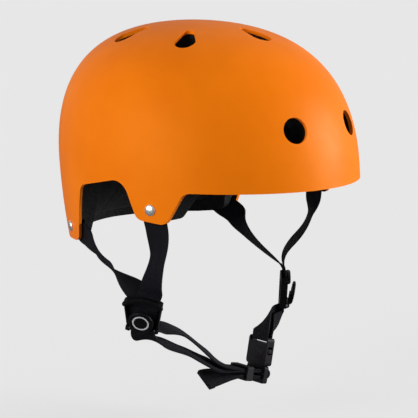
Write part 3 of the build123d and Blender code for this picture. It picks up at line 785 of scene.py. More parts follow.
@dataclass(frozen=True)
class HeadForm:
    """A dome: a turned profile, stretched to an oval and raked back.

    A place on it is an angle round Z, from the front, and a run along the profile, from 0 at the
    crown over 1 at the widest level to 2 at the foot of the skirt.
    """

    front: float = 140.8
    rear: float = 128.0
    side: float = 117.9
    crown: float = 117.9
    draw: float = 4.4
    skirt: float = 72.0
    rake: float = 0.0858
    fullness: float = 0.668

    def inset(self, depth: float) -> "HeadForm":
        """The form drawn in by a depth."""
        return replace(self, front=self.front - depth, rear=self.rear - depth, side=self.side - depth,
                       crown=self.crown - depth)

    def profile(self, run: float) -> tuple[float, float, float, float]:
        """The radius and height at a run, and how fast both change with it.

        Args:
            run: The run along the profile.

        Returns:
            The radius, the height and their rates.
        """
        full = self.fullness
        if run > 1:
            low = run - 1
            return self.side - self.draw * low**2, -self.skirt * low, -2 * self.draw * low, -self.skirt
        up = 1 - run
        radius = 3 * up**2 * run * full + 3 * up * run**2 + run**3
        height = up**3 + 3 * up**2 * run + 3 * up * run**2 * full
        radius_rate = 3 * up**2 * full + 6 * up * run * (1 - full)
        height_rate = 6 * up * run * (full - 1) - 3 * run**2 * full
        return self.side * radius, self.crown * height, self.side * radius_rate, self.crown * height_rate

    def stretch(self, ahead: float) -> float:
        """How much wider the form is along X on one side."""
        return (self.front if ahead > 0 else self.rear) / self.side

    def point(self, angle: float, run: float) -> Vector:
        """The place at an angle and a run."""
        radius, height = self.profile(run)[:2]
        ahead, aside = radius * cos(radians(angle)), radius * sin(radians(angle))
        return Vector((ahead * self.stretch(ahead) - self.rake * height, aside, height))

    def normal(self, angle: float, run: float) -> Vector:
        """The outward direction at an angle and a run."""
        radius, _, radius_rate, height_rate = self.profile(run)
        turn = radians(angle)
        reach = self.stretch(cos(turn))
        around = Vector((-reach * radius * sin(turn), radius * cos(turn), 0))
        down = Vector((reach * radius_rate * cos(turn) - self.rake * height_rate, radius_rate * sin(turn),
                       height_rate))
        return down.cross(around).normalized()

    def angle_at(self, ahead: float, run: float, side: int) -> float:
        """The angle of the place with this X, on the right (-1) or the left (1)."""
        radius, height = self.profile(run)[:2]
        reach = self.front if ahead > 0 else self.rear
        return side * degrees(acos((ahead + self.rake * height) / (radius * reach / self.side)))

    def skin(self, shape: Shape, rows: int, steps: int) -> None:
        """Spins the form's skin into a shape.

        Args:
            shape: The shape that gets the skin.
            rows: How many rows of faces it has from the crown to the foot.
            steps: How many faces it has all round.
        """
        line = [self.profile(2 * row / rows)[:2] for row in range(rows + 1)]
        for vert in spun(shape, line, steps):
            vert.co.x = vert.co.x * self.stretch(vert.co.x) - self.rake * vert.co.z


OUTER = HeadForm()


@dataclass(frozen=True)
class Anchor:
    """The seat of a strap under its rivet, on the inside of the shell."""

    side: int
    ahead: float
    drop: float
    way: Vector
    exit_run: float
    wall: float = 3.0
    shell_gap: float = 1.0
    webbing_wall: float = 1.3
    ply_gap: float = 0.3

    def skin(self, run_on: float = 0.0) -> tuple[Vector, Vector]:
        """The place and normal of the shell's skin at some way along the strap from the rivet."""
        run = 1 + (self.drop - self.way.z * run_on) / OUTER.skirt
        angle = OUTER.angle_at(self.ahead + self.way.x * run_on, run, self.side)
        return OUTER.point(angle, run), OUTER.normal(angle, run)

    def along(self, normal: Vector) -> Vector:
        """The strap's way, laid along a skin with this normal."""
        return (self.way - normal * self.way.dot(normal)).normalized()

    def seat_depth(self) -> float:
        """How deep the strap's middle lies under the skin."""
        return self.wall + self.shell_gap + self.webbing_wall / 2

    def plane(self, depth: float) -> Plane:
        """A plane at a depth under the skin, with its local Y against the strap's run."""
        skin, normal = self.skin()
        return Plane.on(skin - normal * depth, normal.cross(self.along(normal)), normal)

    def exit_stop(self) -> tuple[Vector, Vector, Vector]:
        """Where the strap leaves the shell's cover, its way there and the shell's normal."""
        skin, normal = self.skin(self.exit_run)
        return skin - normal * (self.seat_depth() + self.ply_gap), self.along(normal), normal


ANCHORS = {
    "right_front": Anchor(-1, 40.0, 26.0, Vector((0.18, 0, -0.98)), 15.0),
    "left_front": Anchor(1, 40.0, 26.0, Vector((-0.07, 0, -1)), 15.0),
    "right_rear": Anchor(-1, -65.0, 53.0, Vector((0.97, 0, -0.26)), 22.0),
    "left_rear": Anchor(1, -65.0, 53.0, Vector((0.8, 0, -0.6)), 22.0),
}


@dataclass(frozen=True)
class ShellAssembly:
    """The painted shell with its vents, and the rivets through it."""

    wall: float = 3.0
    rows: int = 72
    steps: int = 224
    edge: float = 0.55
    round_bore: float = 21.5
    round_angle: float = 18.3
    round_run: float = 0.826
    drop_ring: float = 60.0
    drop_count: int = 6
    drop_length: float = 30.0
    drop_outer: float = 18.0
    drop_inner: float = 9.0
    drop_lag: float = 4.0
    cut_depth: float = 60.0
    rivet_bore: float = 4.8
    rivet_head: float = 9.5
    rivet_rise: float = 2.2
    rivet_brim: float = 0.25
    rivet_shank: float = 2.3
    rivet_depth: float = 6.2
    rivet_tail: float = 7.0
    rivet_tail_rise: float = 1.2
    rivet_tail_steps: tuple = (0.6, 0.9, 1.6)
    join: float = 0.05
    sliver: float = 0.02
    edge_line: tuple = (
        (170.8, -10.8, 0), (67.5, -10.8, 7.5), (53.0, -37.6, 7.5), (27.5, -34.6, 7.5),
        (14.0, -2.5, 14.0), (-37.9, -13.4, 9.0), (-48.8, -63.0, 9.0), (-76.0, -65.0, 9.0),
        (-158.0, -65.0, 0), (-158.0, -102.0, 0), (170.8, -102.0, 0),
    )

    def lower_cut(self, shape: Shape) -> None:
        """Adds the air below the lower edge: its outline with rounded corners, drawn across.

        Args:
            shape: The shape that gets it.
        """
        span = OUTER.side + self.cut_depth
        corners = [shape.verts.new((ahead, -span, height)) for ahead, height, _ in self.edge_line]
        shape.faces.new(corners)
        for vert, (_, _, radius) in zip(corners, self.edge_line):
            if radius:
                ways = [(edge.other_vert(vert).co - vert.co).normalized() for edge in vert.link_edges]
                bevel(shape, [vert], radius / tan(ways[0].angle(ways[1]) / 2), segments=12, affect="VERTICES")
        face = max(shape.faces, key=lambda each: len(each.verts))
        grown = bmesh.ops.extrude_face_region(shape, geom=[face])["geom"]
        moved = [item for item in grown if isinstance(item, bmesh.types.BMVert)]
        bmesh.ops.translate(shape, vec=(0, 2 * span, 0), verts=moved)

    def bar(self, shape: Shape, plane: Plane, radius: float, depth: float) -> None:
        """Adds a round bar from a plane, outwards by the form's margin and inwards by a depth.

        Args:
            shape: The shape that gets it.
            plane: The plane with the bar's axis as its normal.
            radius: The bar's radius.
            depth: How deep it goes.
        """
        turn = plane.matrix((0, 0, (self.cut_depth / 2 - depth) / 2))
        rod(shape, radius, depth + self.cut_depth / 2, segments=72, matrix=turn)

    def drop_vent(self, shape: Shape, angle: float) -> None:
        """Adds the air of one drop-shaped crown vent: the hull of a narrow and a wide bar.

        Args:
            shape: The shape that gets it.
            angle: Its angle round the crown in degrees.
        """
        inner_at = self.drop_ring - self.drop_length / 2 + self.drop_inner / 2
        outer_at = self.drop_ring + self.drop_length / 2 - self.drop_outer / 2
        own = bmesh.new()
        for reach, bore in ((inner_at, self.drop_inner), (outer_at, self.drop_outer)):
            middle = Matrix.Translation((reach, 0, OUTER.crown))
            rod(own, bore / 2, 2 * self.cut_depth, segments=64, matrix=middle)
        hull = bmesh.ops.convex_hull(own, input=own.verts[:])
        skin, loose = set(hull["geom"]), set(hull["geom_interior"] + hull["geom_unused"])
        bmesh.ops.delete(own, geom=[vert for vert in own.verts if vert in loose], context="VERTS")
        bmesh.ops.delete(own, geom=[face for face in own.faces if face not in skin], context="FACES_ONLY")
        turn = Matrix.Translation((-self.drop_lag, 0, 0)) @ Matrix.Rotation(radians(angle), 4, "Z")
        bmesh.ops.transform(own, matrix=turn, verts=own.verts)
        held = bpy.data.meshes.new("drop")
        own.to_mesh(held)
        own.free()
        shape.from_mesh(held)
        bpy.data.meshes.remove(held)

    def cutters(self) -> Piece:
        """Everything that is cut out of the shell, as one object."""
        shape = bmesh.new()
        self.lower_cut(shape)
        for angle in (self.round_angle, -self.round_angle, 180 - self.round_angle, self.round_angle - 180):
            way = OUTER.normal(angle, self.round_run)
            plane = Plane.on(OUTER.point(angle, self.round_run), way.orthogonal(), way)
            self.bar(shape, plane, self.round_bore / 2, self.cut_depth / 2)
        for number in range(self.drop_count):
            self.drop_vent(shape, 360 * number / self.drop_count)
        for anchor in ANCHORS.values():
            self.bar(shape, anchor.plane(0), self.rivet_bore / 2, 3 * self.wall)
        bmesh.ops.recalc_face_normals(shape, faces=shape.faces)
        return place("shell_cutters", shape, SHELL_PAINT)

    def shell(self) -> None:
        """Adds the painted shell, unpainted inside."""
        shape = bmesh.new()
        OUTER.skin(shape, self.rows, self.steps)
        painted = set(shape.faces)
        OUTER.inset(self.wall).skin(shape, self.rows, self.steps)
        for face in shape.faces:
            face.material_index = 0 if face in painted else 1
        bmesh.ops.bridge_loops(shape, edges=[edge for edge in shape.edges if edge.is_boundary])
        bmesh.ops.recalc_face_normals(shape, faces=shape.faces)
        piece = place("painted_shell", shape, SHELL_PAINT)
        piece.data.materials.append(LINING.material())
        cutters = self.cutters()
        cut = piece.modifiers.new("openings", "BOOLEAN")
        cut.operation, cut.solver, cut.object = "DIFFERENCE", "EXACT", cutters
        bake(piece)
        bpy.data.objects.remove(cutters)
        clean = bmesh.new()
        clean.from_mesh(piece.data)
        bmesh.ops.remove_doubles(clean, verts=clean.verts, dist=self.join * MM)
        bmesh.ops.dissolve_degenerate(clean, dist=self.sliver * MM, edges=clean.edges)
        clean.to_mesh(piece.data)
        clean.free()
        piece.data.shade_smooth()
        piece.data.set_sharp_from_angle(angle=radians(SMOOTH_ANGLE))
        soften(piece, self.edge, segments=2, angle=40.0)
        settle(piece, Body.HELMET, Slot.SHELL, "outer_shell")

    def rivets(self) -> None:
        """Adds the four domed rivets, turned from their profile."""
        shape = bmesh.new()
        half, tail, shank, brim = self.rivet_head / 2, self.rivet_tail / 2, self.rivet_shank, self.rivet_brim
        foot, end = -self.rivet_depth, -self.rivet_depth - self.rivet_tail_rise
        bulge_in, bulge_down, end_in = self.rivet_tail_steps
        dome = [(half * sin(radians(turn)), brim + (self.rivet_rise - brim) * cos(radians(turn)))
                for turn in range(0, 91, 9)]
        line = dome + [(half, 0.0), (shank, 0.0), (shank, foot), (tail, foot),
                       (tail - bulge_in, foot - bulge_down), (tail - end_in, end), (0.0, end)]
        for anchor in ANCHORS.values():
            bmesh.ops.transform(shape, matrix=anchor.plane(0).matrix(), verts=spun(shape, line, steps=48))
        bmesh.ops.recalc_face_normals(shape, faces=shape.faces)
        settle(place("domed_rivets", shape, RIVET_METAL), Body.HELMET, Slot.RIVET, "strap_rivets")

    def build(self) -> None:
        """Builds the shell and its rivets."""
        self.shell()
        self.rivets()
        recoat("rivet_washers", STEEL)


@dataclass(frozen=True)
class LinerAssembly:
    """The foam liner, its hook patches and the comfort pads."""

    pads: tuple = ("brow_pad", "right_side_pad", "left_side_pad", "rear_pad", "crown_pad")
    voxel: float = 2.6
    draw_in: float = 0.5
    pressure: float = 4.0
    frames: int = 20
    cap: float = 1.4

    def swell(self, piece: Piece) -> None:
        """Blows a pad up as cloth, with a cap on how far a point moves.

        Args:
            piece: The pad, whose mesh is changed.
        """
        start = [vert.co.copy() for vert in piece.data.vertices]
        cloth = piece.modifiers.new("cloth", "CLOTH").settings
        cloth.use_pressure = True
        cloth.uniform_pressure_force = self.pressure
        cloth.effector_weights.gravity = 0
        scene = bpy.context.scene
        for number in range(1, self.frames + 1):
            scene.frame_set(number)
        bake(piece)
        scene.frame_set(1)
        for vert, first in zip(piece.data.vertices, start):
            move = vert.co - first
            if move.length > self.cap * MM:
                vert.co = first + move.normalized() * self.cap * MM

    def pad(self, node: str) -> None:
        """Adds one comfort pad as a stuffed cloth cushion.

        Args:
            node: The pad's node.
        """
        shape = merged_copy(node)
        shape.normal_update()
        for vert in shape.verts:
            vert.co -= vert.normal * self.draw_in
        piece = place(f"{node}_cushion", shape, PAD_CLOTH)
        remesh = piece.modifiers.new("remesh", "REMESH")
        remesh.mode = "VOXEL"
        remesh.voxel_size = self.voxel * MM
        remesh.use_smooth_shade = True
        bake(piece)
        self.swell(piece)
        divide = piece.modifiers.new("round", "SUBSURF")
        divide.levels = divide.render_levels = 1
        bake(piece)
        piece.data.shade_smooth()
        settle(piece, Body.HELMET, Slot.PAD, node)

    def build(self) -> None:
        """Builds the liner's dressing and the pads."""
        recoat("foam_liner", BEAD_FOAM)
        recoat("hook_patches", HOOKS)
        for node in self.pads:
            self.pad(node)


@dataclass(frozen=True)
class Stop:
    """A place that a strap passes, its way and its face there, and the pulls before and after."""

    place: Vector
    way: Vector
    face: Vector
    pull_in: float
    pull_out: float


@dataclass(frozen=True)
class Route:
    """How a strap runs over its free span: its pulls, twists, bow, splay and tip."""

    start_share: float = 0.0
    end_share: float = 0.0
    turns: tuple = ((0, 0), (1, 0))
    bow: tuple = (0.0, 0.0, 0.0)
    splay: float = 0.0
    tip: float = 0.0

    @staticmethod
    def eased(share: float) -> float:
        """A share that starts and ends gently."""
        return share * share * (3 - 2 * share)

    def turn_at(self, share: float) -> float:
        """The twist in degrees at a share of the span."""
        for (before, first), (after, second) in zip(self.turns, self.turns[1:]):
            if share <= after:
                return first + (second - first) * self.eased((share - before) / (after - before))
        return self.turns[-1][1]


STRAIGHT = Route()


@dataclass(frozen=True)
class Webbing:
    """Woven strap laid along stops, with a map that the weave follows."""

    width: float = 20.0
    wall: float = 1.3
    pitch: float = 1.7
    columns: int = 12
    edge: float = 0.38
    edge_angle: float = 60.0
    smooth_angle: float = 50.0

    def sections(self, stops: list[Stop], free_span: int = -1, route: Route = STRAIGHT) -> list[tuple]:
        """The strap's cross-sections.

        Args:
            stops: The places that it passes.
            free_span: The number of the span that the route bends and twists.
            route: How it runs over that span.

        Returns:
            The place, the way and the direction across of each section.
        """
        bow = Vector(route.bow) * self.width
        found = []
        for number, (start, end) in enumerate(zip(stops, stops[1:])):
            first = start.place + start.way * start.pull_out
            second = end.place - end.way * end.pull_in
            steps = max(ceil((end.place - start.place).length / self.pitch), 3)
            for step in range(0 if number == 0 else 1, steps + 1):
                share = step / steps
                left = 1 - share
                spot = (start.place * left**3 + first * (3 * left**2 * share) + second * (3 * left * share**2)
                        + end.place * share**3)
                way = ((first - start.place) * left**2 + (second - first) * (2 * left * share)
                       + (end.place - second) * share**2) * 3
                if number == free_span:
                    spot = spot + bow * (4 * left * share) ** 2
                    way = way + bow * (32 * left * share * (left - share))
                way = way.normalized()
                face = start.face.lerp(end.face, Route.eased(share))
                across = way.cross(face).normalized()
                if number == free_span:
                    across = turned(across, way, route.turn_at(share))
                found.append((spot, way, across))
        return found

    def lay(self, shape: Shape, sections: list[tuple], lift: float) -> None:
        """Lays one ply of webbing through its sections.

        Args:
            shape: The shape that gets it.
            sections: The cross-sections.
            lift: How far it stands off the sections.
        """
        chart = shape.loops.layers.uv.verify()
        rows = len(sections) - 1
        made = bmesh.ops.create_grid(shape, x_segments=self.columns, y_segments=rows, size=0.5)["verts"]
        lengths = [0.0]
        for (before, _, _), (after, _, _) in zip(sections, sections[1:]):
            lengths.append(lengths[-1] + (after - before).length)
        marks = {}
        for vert in made:
            share = vert.co.x + 0.5
            row = round((vert.co.y + 0.5) * rows)
            spot, way, across = sections[row]
            marks[vert] = (share, lengths[row] / self.width)
            vert.co = spot + across * ((share - 0.5) * self.width) + across.cross(way) * lift
        for face in {face for vert in made for face in vert.link_faces}:
            for loop in face.loops:
                loop[chart].uv = marks[loop.vert]

    def strap(self, name: str, *plies: tuple[list[tuple], float]) -> Piece:
        """A strap with its thickness and its soft edges.

        Args:
            name: The piece's name.
            plies: Sections and lifts, one pair for each ply.

        Returns:
            The piece.
        """
        shape = bmesh.new()
        for sections, lift in plies:
            self.lay(shape, sections, lift)
        piece = place(name, shape, TWILL, self.smooth_angle)
        thick = piece.modifiers.new("thickness", "SOLIDIFY")
        thick.thickness = self.wall * MM
        thick.offset = 0
        round_edges(piece, self.edge, 3, self.edge_angle)
        return bake(piece)


def side_plane(side: int, origin: Vector, face_turn: float, lean: float, roll: float) -> Plane:
    """An adjuster's plane, with its normal facing out from the head and its local Y up."""
    turn, tip = radians(face_turn), radians(lean)
    out = Vector((sin(turn) * cos(tip), side * cos(turn) * cos(tip), -sin(tip)))
    up = Vector((sin(turn) * sin(tip), side * cos(turn) * sin(tip), cos(tip)))
    return Plane.on(origin, turned(up.cross(out), out, roll), out)


RIGHT_ADJUSTER = side_plane(-1, Vector((16.5, -96.0, -117.5)), face_turn=28.0, lean=18.0, roll=-6.0)
LEFT_ADJUSTER = side_plane(1, Vector((13.5, 96.0, -128.5)), face_turn=50.0, lean=3.0, roll=0.0)
BUCKLE_TURN, BUCKLE_LEAN = radians(10), radians(11)
BUCKLE_ACROSS = Vector((cos(BUCKLE_TURN), -sin(BUCKLE_TURN), 0))
BUCKLE_UP = Vector((0, sin(BUCKLE_LEAN), cos(BUCKLE_LEAN)))
BUCKLE = Plane.on(Vector((20.0, 52.0, -189.0)), BUCKLE_ACROSS, BUCKLE_ACROSS.cross(BUCKLE_UP))

UPPER_ROUTES = {
    "right_front": Route(0.65, 0.1, ((0, 0), (0.3, 33), (1, 0)), (-0.131, -0.111, 0), -20, -9.5),
    "right_rear": Route(0.65, 0.1, ((0, 0), (0.354, 53), (1, 0)), (-0.212, -0.18, 0), 20, -9.5),
    "left_front": Route(0.52, 0.43, ((0, 0), (0.2, 30), (1, 0)), (0.163, 0.138, 0), -1, -25),
    "left_rear": Route(0.15, 0.15, ((0, 0), (0.35, 32), (1, 0)), (-0.247, -0.209, 0), 12, -25),
}


@dataclass(frozen=True)
class Harness:
    """The webbing from the rivets over the adjusters to the buckle."""

    webbing: Webbing = Webbing()
    ply_gap: float = 0.3
    tab: float = 9.0
    flat: float = 6.5
    offset: float = 4.0
    lead: float = 4.0
    trail: float = 3.0
    adjuster_height: float = 31.5
    socket_height: float = 25.5
    loop_rise: float = 4.0
    bar: float = 2.2
    bar_wall: float = 3.2
    plug_wall: float = 4.6
    plug_head: float = 2.4
    ladder_slot: float = 3.4
    ladder_bar: float = 2.4
    wrap_lead: float = 6.0
    straight_run: float = 24.0
    tail_length: float = 35.0
    tail_droop: float = 5.0
    tail_twist: float = -38.0
    hem: float = 9.0
    hem_lift: float = 0.9
    thread_lift: float = 1.5
    thread: tuple = (1.5, 0.42, 0.32)
    stitch_rows: tuple = (2, 5)
    stitch_count: int = 9
    stitch_margin: float = 4.0
    loop_pitch: float = 0.45
    wrap_pitch: float = 0.7

    def ply_depth(self) -> float:
        """How far a ply lies from the middle of two."""
        return (self.webbing.wall + self.ply_gap) / 2

    def loop_out(self) -> float:
        """How far the left loop's middle lies from the middle of the socket's bar."""
        return self.bar_wall / 2 + self.ply_gap + self.webbing.wall / 2

    def slot_level(self, number: int) -> float:
        """The height of the middle of one of the ladder's slots, counted from the plug's head."""
        return -self.plug_head - self.ladder_slot * (number + 0.5) - self.ladder_bar * number

    def ladder_run(self, level: float) -> tuple[Vector, Vector, float]:
        """The start and end of a ply's straight run outside the ladder, and a third of its length."""
        near, far = (BUCKLE.spot(0, level, self.plug_wall / 2 + reach)
                     for reach in (self.wrap_lead, self.straight_run))
        return near, far, (self.straight_run - self.wrap_lead) / 3

    @staticmethod
    def bends(marks: list[tuple]) -> list[Stop]:
        """The stops of a strap round a bar: each mark is out, up, the way's out and up, and both pulls."""
        return [Stop(BUCKLE.spot(0, up, out), BUCKLE.out * way_out + BUCKLE.up * way_up,
                     BUCKLE.up * way_out - BUCKLE.out * way_up, pull_in, pull_out)
                for out, up, way_out, way_up, pull_in, pull_out in marks]

    def ply_run(self, plane: Plane, side: int, front: bool) -> tuple[Vector, Vector, Vector]:
        """Where a ply enters and leaves its adjuster, and its way in."""
        lead = self.offset if front == (side < 0) else -self.offset
        layer = self.ply_depth() if front else -self.ply_depth()
        entry = plane.spot(lead, self.adjuster_height / 2, layer)
        leave = plane.spot(0, -self.adjuster_height / 2, layer)
        return entry, leave, (leave - entry).normalized()

    def upper_strap(self, name: str, route: Route) -> None:
        """Adds a strap from its rivet down to its adjuster.

        Args:
            name: The side and end that it belongs to.
            route: How it runs.
        """
        anchor = ANCHORS[name]
        plane = RIGHT_ADJUSTER if anchor.side < 0 else LEFT_ADJUSTER
        seat = anchor.plane(anchor.seat_depth())
        way, normal = -seat.up, seat.out
        flat_end = seat.origin + way * self.flat
        exit_place, exit_way, exit_face = anchor.exit_stop()
        entry, _, entry_way = self.ply_run(plane, anchor.side, name.endswith("front"))
        tipped = turned(turned(entry_way, plane.out, route.splay), plane.across, route.tip)
        tipped_face = turned(plane.out, plane.across, route.tip)
        above = entry - (entry_way + tipped).normalized() * self.lead
        span = (above - exit_place).length
        flat_third = (self.tab + self.flat) / 3
        exit_third = (exit_place - flat_end).length / 3
        stops = [Stop(seat.origin - way * self.tab, way, normal, 0, flat_third),
                 Stop(flat_end, way, normal, flat_third, exit_third),
                 Stop(exit_place, exit_way, exit_face, exit_third, span * route.start_share),
                 Stop(above, tipped, tipped_face, span * route.end_share, self.lead / 3),
                 Stop(entry, entry_way, plane.out, self.lead / 3, 0)]
        piece = self.webbing.strap(f"{name}_webbing", (self.webbing.sections(stops, 2, route), 0.0))
        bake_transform(piece)
        enter(piece, Slot.WEBBING, f"{name}_strap")

    def chin_start(self, side: int, front: bool, far: Vector, route: Route) -> tuple[list[Stop], float]:
        """The first two stops of a chin strap, in its adjuster and just under it.

        Args:
            side: -1 on the right and 1 on the left.
            front: Whether it is the front strap's ply.
            far: Where its free span ends.
            route: How it runs over that span.

        Returns:
            The stops and its pull at the far end.
        """
        plane = RIGHT_ADJUSTER if side < 0 else LEFT_ADJUSTER
        entry, leave, way = self.ply_run(plane, side, front)
        below = leave - plane.up * self.trail
        span, third = (far - below).length, (below - entry).length / 3
        stops = [Stop(entry, way, plane.out, 0, third),
                 Stop(below, -plane.up, plane.out, third, span * route.start_share)]
        return stops, span * route.end_share

    def left_chin(self, name: str, front: bool, route: Route) -> None:
        """Adds a left chin strap from its adjuster to the loop on the buckle's socket.

        Args:
            name: Which of the two it is.
            front: Whether it is the front strap's ply.
            route: How it runs.
        """
        end = BUCKLE.spot(0, self.socket_height + self.loop_rise, self.loop_out() * (-1 if front else 1))
        stops, pull = self.chin_start(1, front, end, route)
        stops.append(Stop(end, -BUCKLE.up, -BUCKLE.out, pull, 0))
        piece = self.webbing.strap(f"left_chin_webbing_{name}", (self.webbing.sections(stops, 1, route), 0.0))
        settle(piece, Body.HARNESS, Slot.WEBBING, f"left_chin_strap_{name}")

    def socket_loop(self) -> None:
        """Adds the loop of the left webbing round the bar of the buckle's socket."""
        out = self.loop_out()
        top = self.socket_height + self.loop_rise
        low = self.socket_height - self.bar - self.ply_gap - self.webbing.wall / 2
        bend = self.webbing.wall
        pull, run, flat_run = CIRCLE_PULL * bend, (top - low - bend) / 3, (out - bend) / 1.5
        marks = [(-out, top, 0, -1, 0, run), (-out, low + bend, 0, -1, run, pull),
                 (bend - out, low, 1, 0, pull, flat_run), (out - bend, low, 1, 0, flat_run, pull),
                 (out, low + bend, 0, 1, pull, run), (out, top, 0, 1, run, 0)]
        fine = replace(self.webbing, pitch=self.loop_pitch)
        piece = fine.strap("left_buckle_webbing", (fine.sections(self.bends(marks)), 0.0))
        settle(piece, Body.HARNESS, Slot.WEBBING, "left_buckle_loop")

    def right_chin(self, name: str, front: bool, route: Route) -> None:
        """Adds a right chin strap from its adjuster to the ladder of the buckle's plug.

        Args:
            name: Which of the two it is.
            front: Whether it is the front strap's ply.
            route: How it runs.
        """
        end, lead, straight = self.ladder_run(self.slot_level(0) + self.ply_depth() * (-1 if front else 1))
        stops, pull = self.chin_start(-1, front, lead, route)
        stops += [Stop(lead, -BUCKLE.out, -BUCKLE.up, pull, straight),
                  Stop(end, -BUCKLE.out, -BUCKLE.up, straight, 0)]
        sections = self.webbing.sections(stops, 1, route)
        piece = self.webbing.strap(f"right_chin_webbing_{name}", (sections, 0.0))
        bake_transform(piece)
        enter(piece, Slot.WEBBING, f"right_chin_strap_{name}")

    def ladder_wrap(self) -> None:
        """Adds the two plies of the right webbing round the middle bar of the ladder."""
        first, second = self.slot_level(0), self.slot_level(1)
        centre = (first + second) / 2
        start = -self.plug_wall / 2 - self.ply_gap
        far = self.plug_wall / 2 + self.wrap_lead
        fine = replace(self.webbing, pitch=self.wrap_pitch)
        plies = []
        for layer in (-self.ply_depth(), self.ply_depth()):
            radius = (first - second) / 2 + layer
            pull = CIRCLE_PULL * radius
            run = (far - start) / 3
            marks = [(far, centre + radius, -1, 0, 0, run), (start, centre + radius, -1, 0, run, pull),
                     (start - radius, centre, 0, -1, pull, pull), (start, centre - radius, 1, 0, pull, run),
                     (far, centre - radius, 1, 0, run, 0)]
            plies.append((fine.sections(self.bends(marks)), 0.0))
        settle(fine.strap("right_ladder_webbing", *plies), Body.PLUG, Slot.WEBBING, "right_ladder_wrap")

    def tail(self) -> None:
        """Adds the loose tail: both plies sewn together, with a hem folded over at its end."""
        start, straight_end, straight = self.ladder_run(self.slot_level(1))
        end = straight_end + BUCKLE.out * self.tail_length - BUCKLE.up * self.tail_droop
        end_way = (BUCKLE.out * self.tail_length - BUCKLE.up * (2 * self.tail_droop)).normalized()
        pull = self.tail_length / 3
        stops = [Stop(start, BUCKLE.out, -BUCKLE.up, 0, straight),
                 Stop(straight_end, BUCKLE.out, -BUCKLE.up, straight, pull),
                 Stop(end, end_way, -BUCKLE.up, pull, 0)]
        sections = self.webbing.sections(stops, 1, Route(turns=((0, 0), (1, self.tail_twist))))
        hem = sections[-max(round(self.hem / self.webbing.pitch), 3):]
        depth = self.ply_depth()
        piece = self.webbing.strap("webbing_tail", (sections, depth), (sections, -depth),
                                   (hem, depth + self.webbing.wall * self.hem_lift))
        settle(piece, Body.PLUG, Slot.WEBBING, "strap_tail")
        self.stitches(sections, depth + self.webbing.wall * self.thread_lift)

    def stitches(self, sections: list[tuple], lift: float) -> None:
        """Adds rows of thread across the last sections of the tail, on both faces.

        Args:
            sections: The tail's cross-sections.
            lift: How far the thread on the hem stands off them.
        """
        shape = bmesh.new()
        room = self.webbing.width - self.stitch_margin
        for row in self.stitch_rows:
            spot, way, across = sections[-row]
            out = across.cross(way)
            for side, height in ((1, lift), (-1, self.ply_depth() + self.webbing.wall / 2)):
                for number in range(self.stitch_count):
                    shift = (number / (self.stitch_count - 1) - 0.5) * room
                    middle = spot + across * shift + out * (side * height)
                    turn = Plane.on(middle, across, out * side).matrix(size=self.thread)
                    bmesh.ops.create_uvsphere(shape, u_segments=8, v_segments=5, radius=0.5, matrix=turn)
        settle(place("tail_stitches", shape, THREAD), Body.PLUG, Slot.WEBBING)

    def build(self) -> None:
        """Builds all the webbing."""
        for name, route in UPPER_ROUTES.items():
            self.upper_strap(name, route)
        left_turns = ((0, 0), (0.35, -10), (0.7, -13), (1, 0))
        self.left_chin("outer", True, Route(0.43, 0.35, left_turns, (-0.025, -0.03, -0.06)))
        self.left_chin("inner", False, Route(0.21, 0.32, left_turns, (-0.11, -0.085, 0.07)))
        self.socket_loop()
        right_turns = ((0, 0), (0.3, 53), (0.55, 34), (0.8, 31), (1, 0))
        self.right_chin("upper", False, Route(0.116, 0.477, right_turns, (0.094, 0.279, 1.078)))
        self.right_chin("lower", True, Route(0.093, 0.489, right_turns, (0.377, 0.368, 0.261)))
        self.ladder_wrap()
        self.tail()


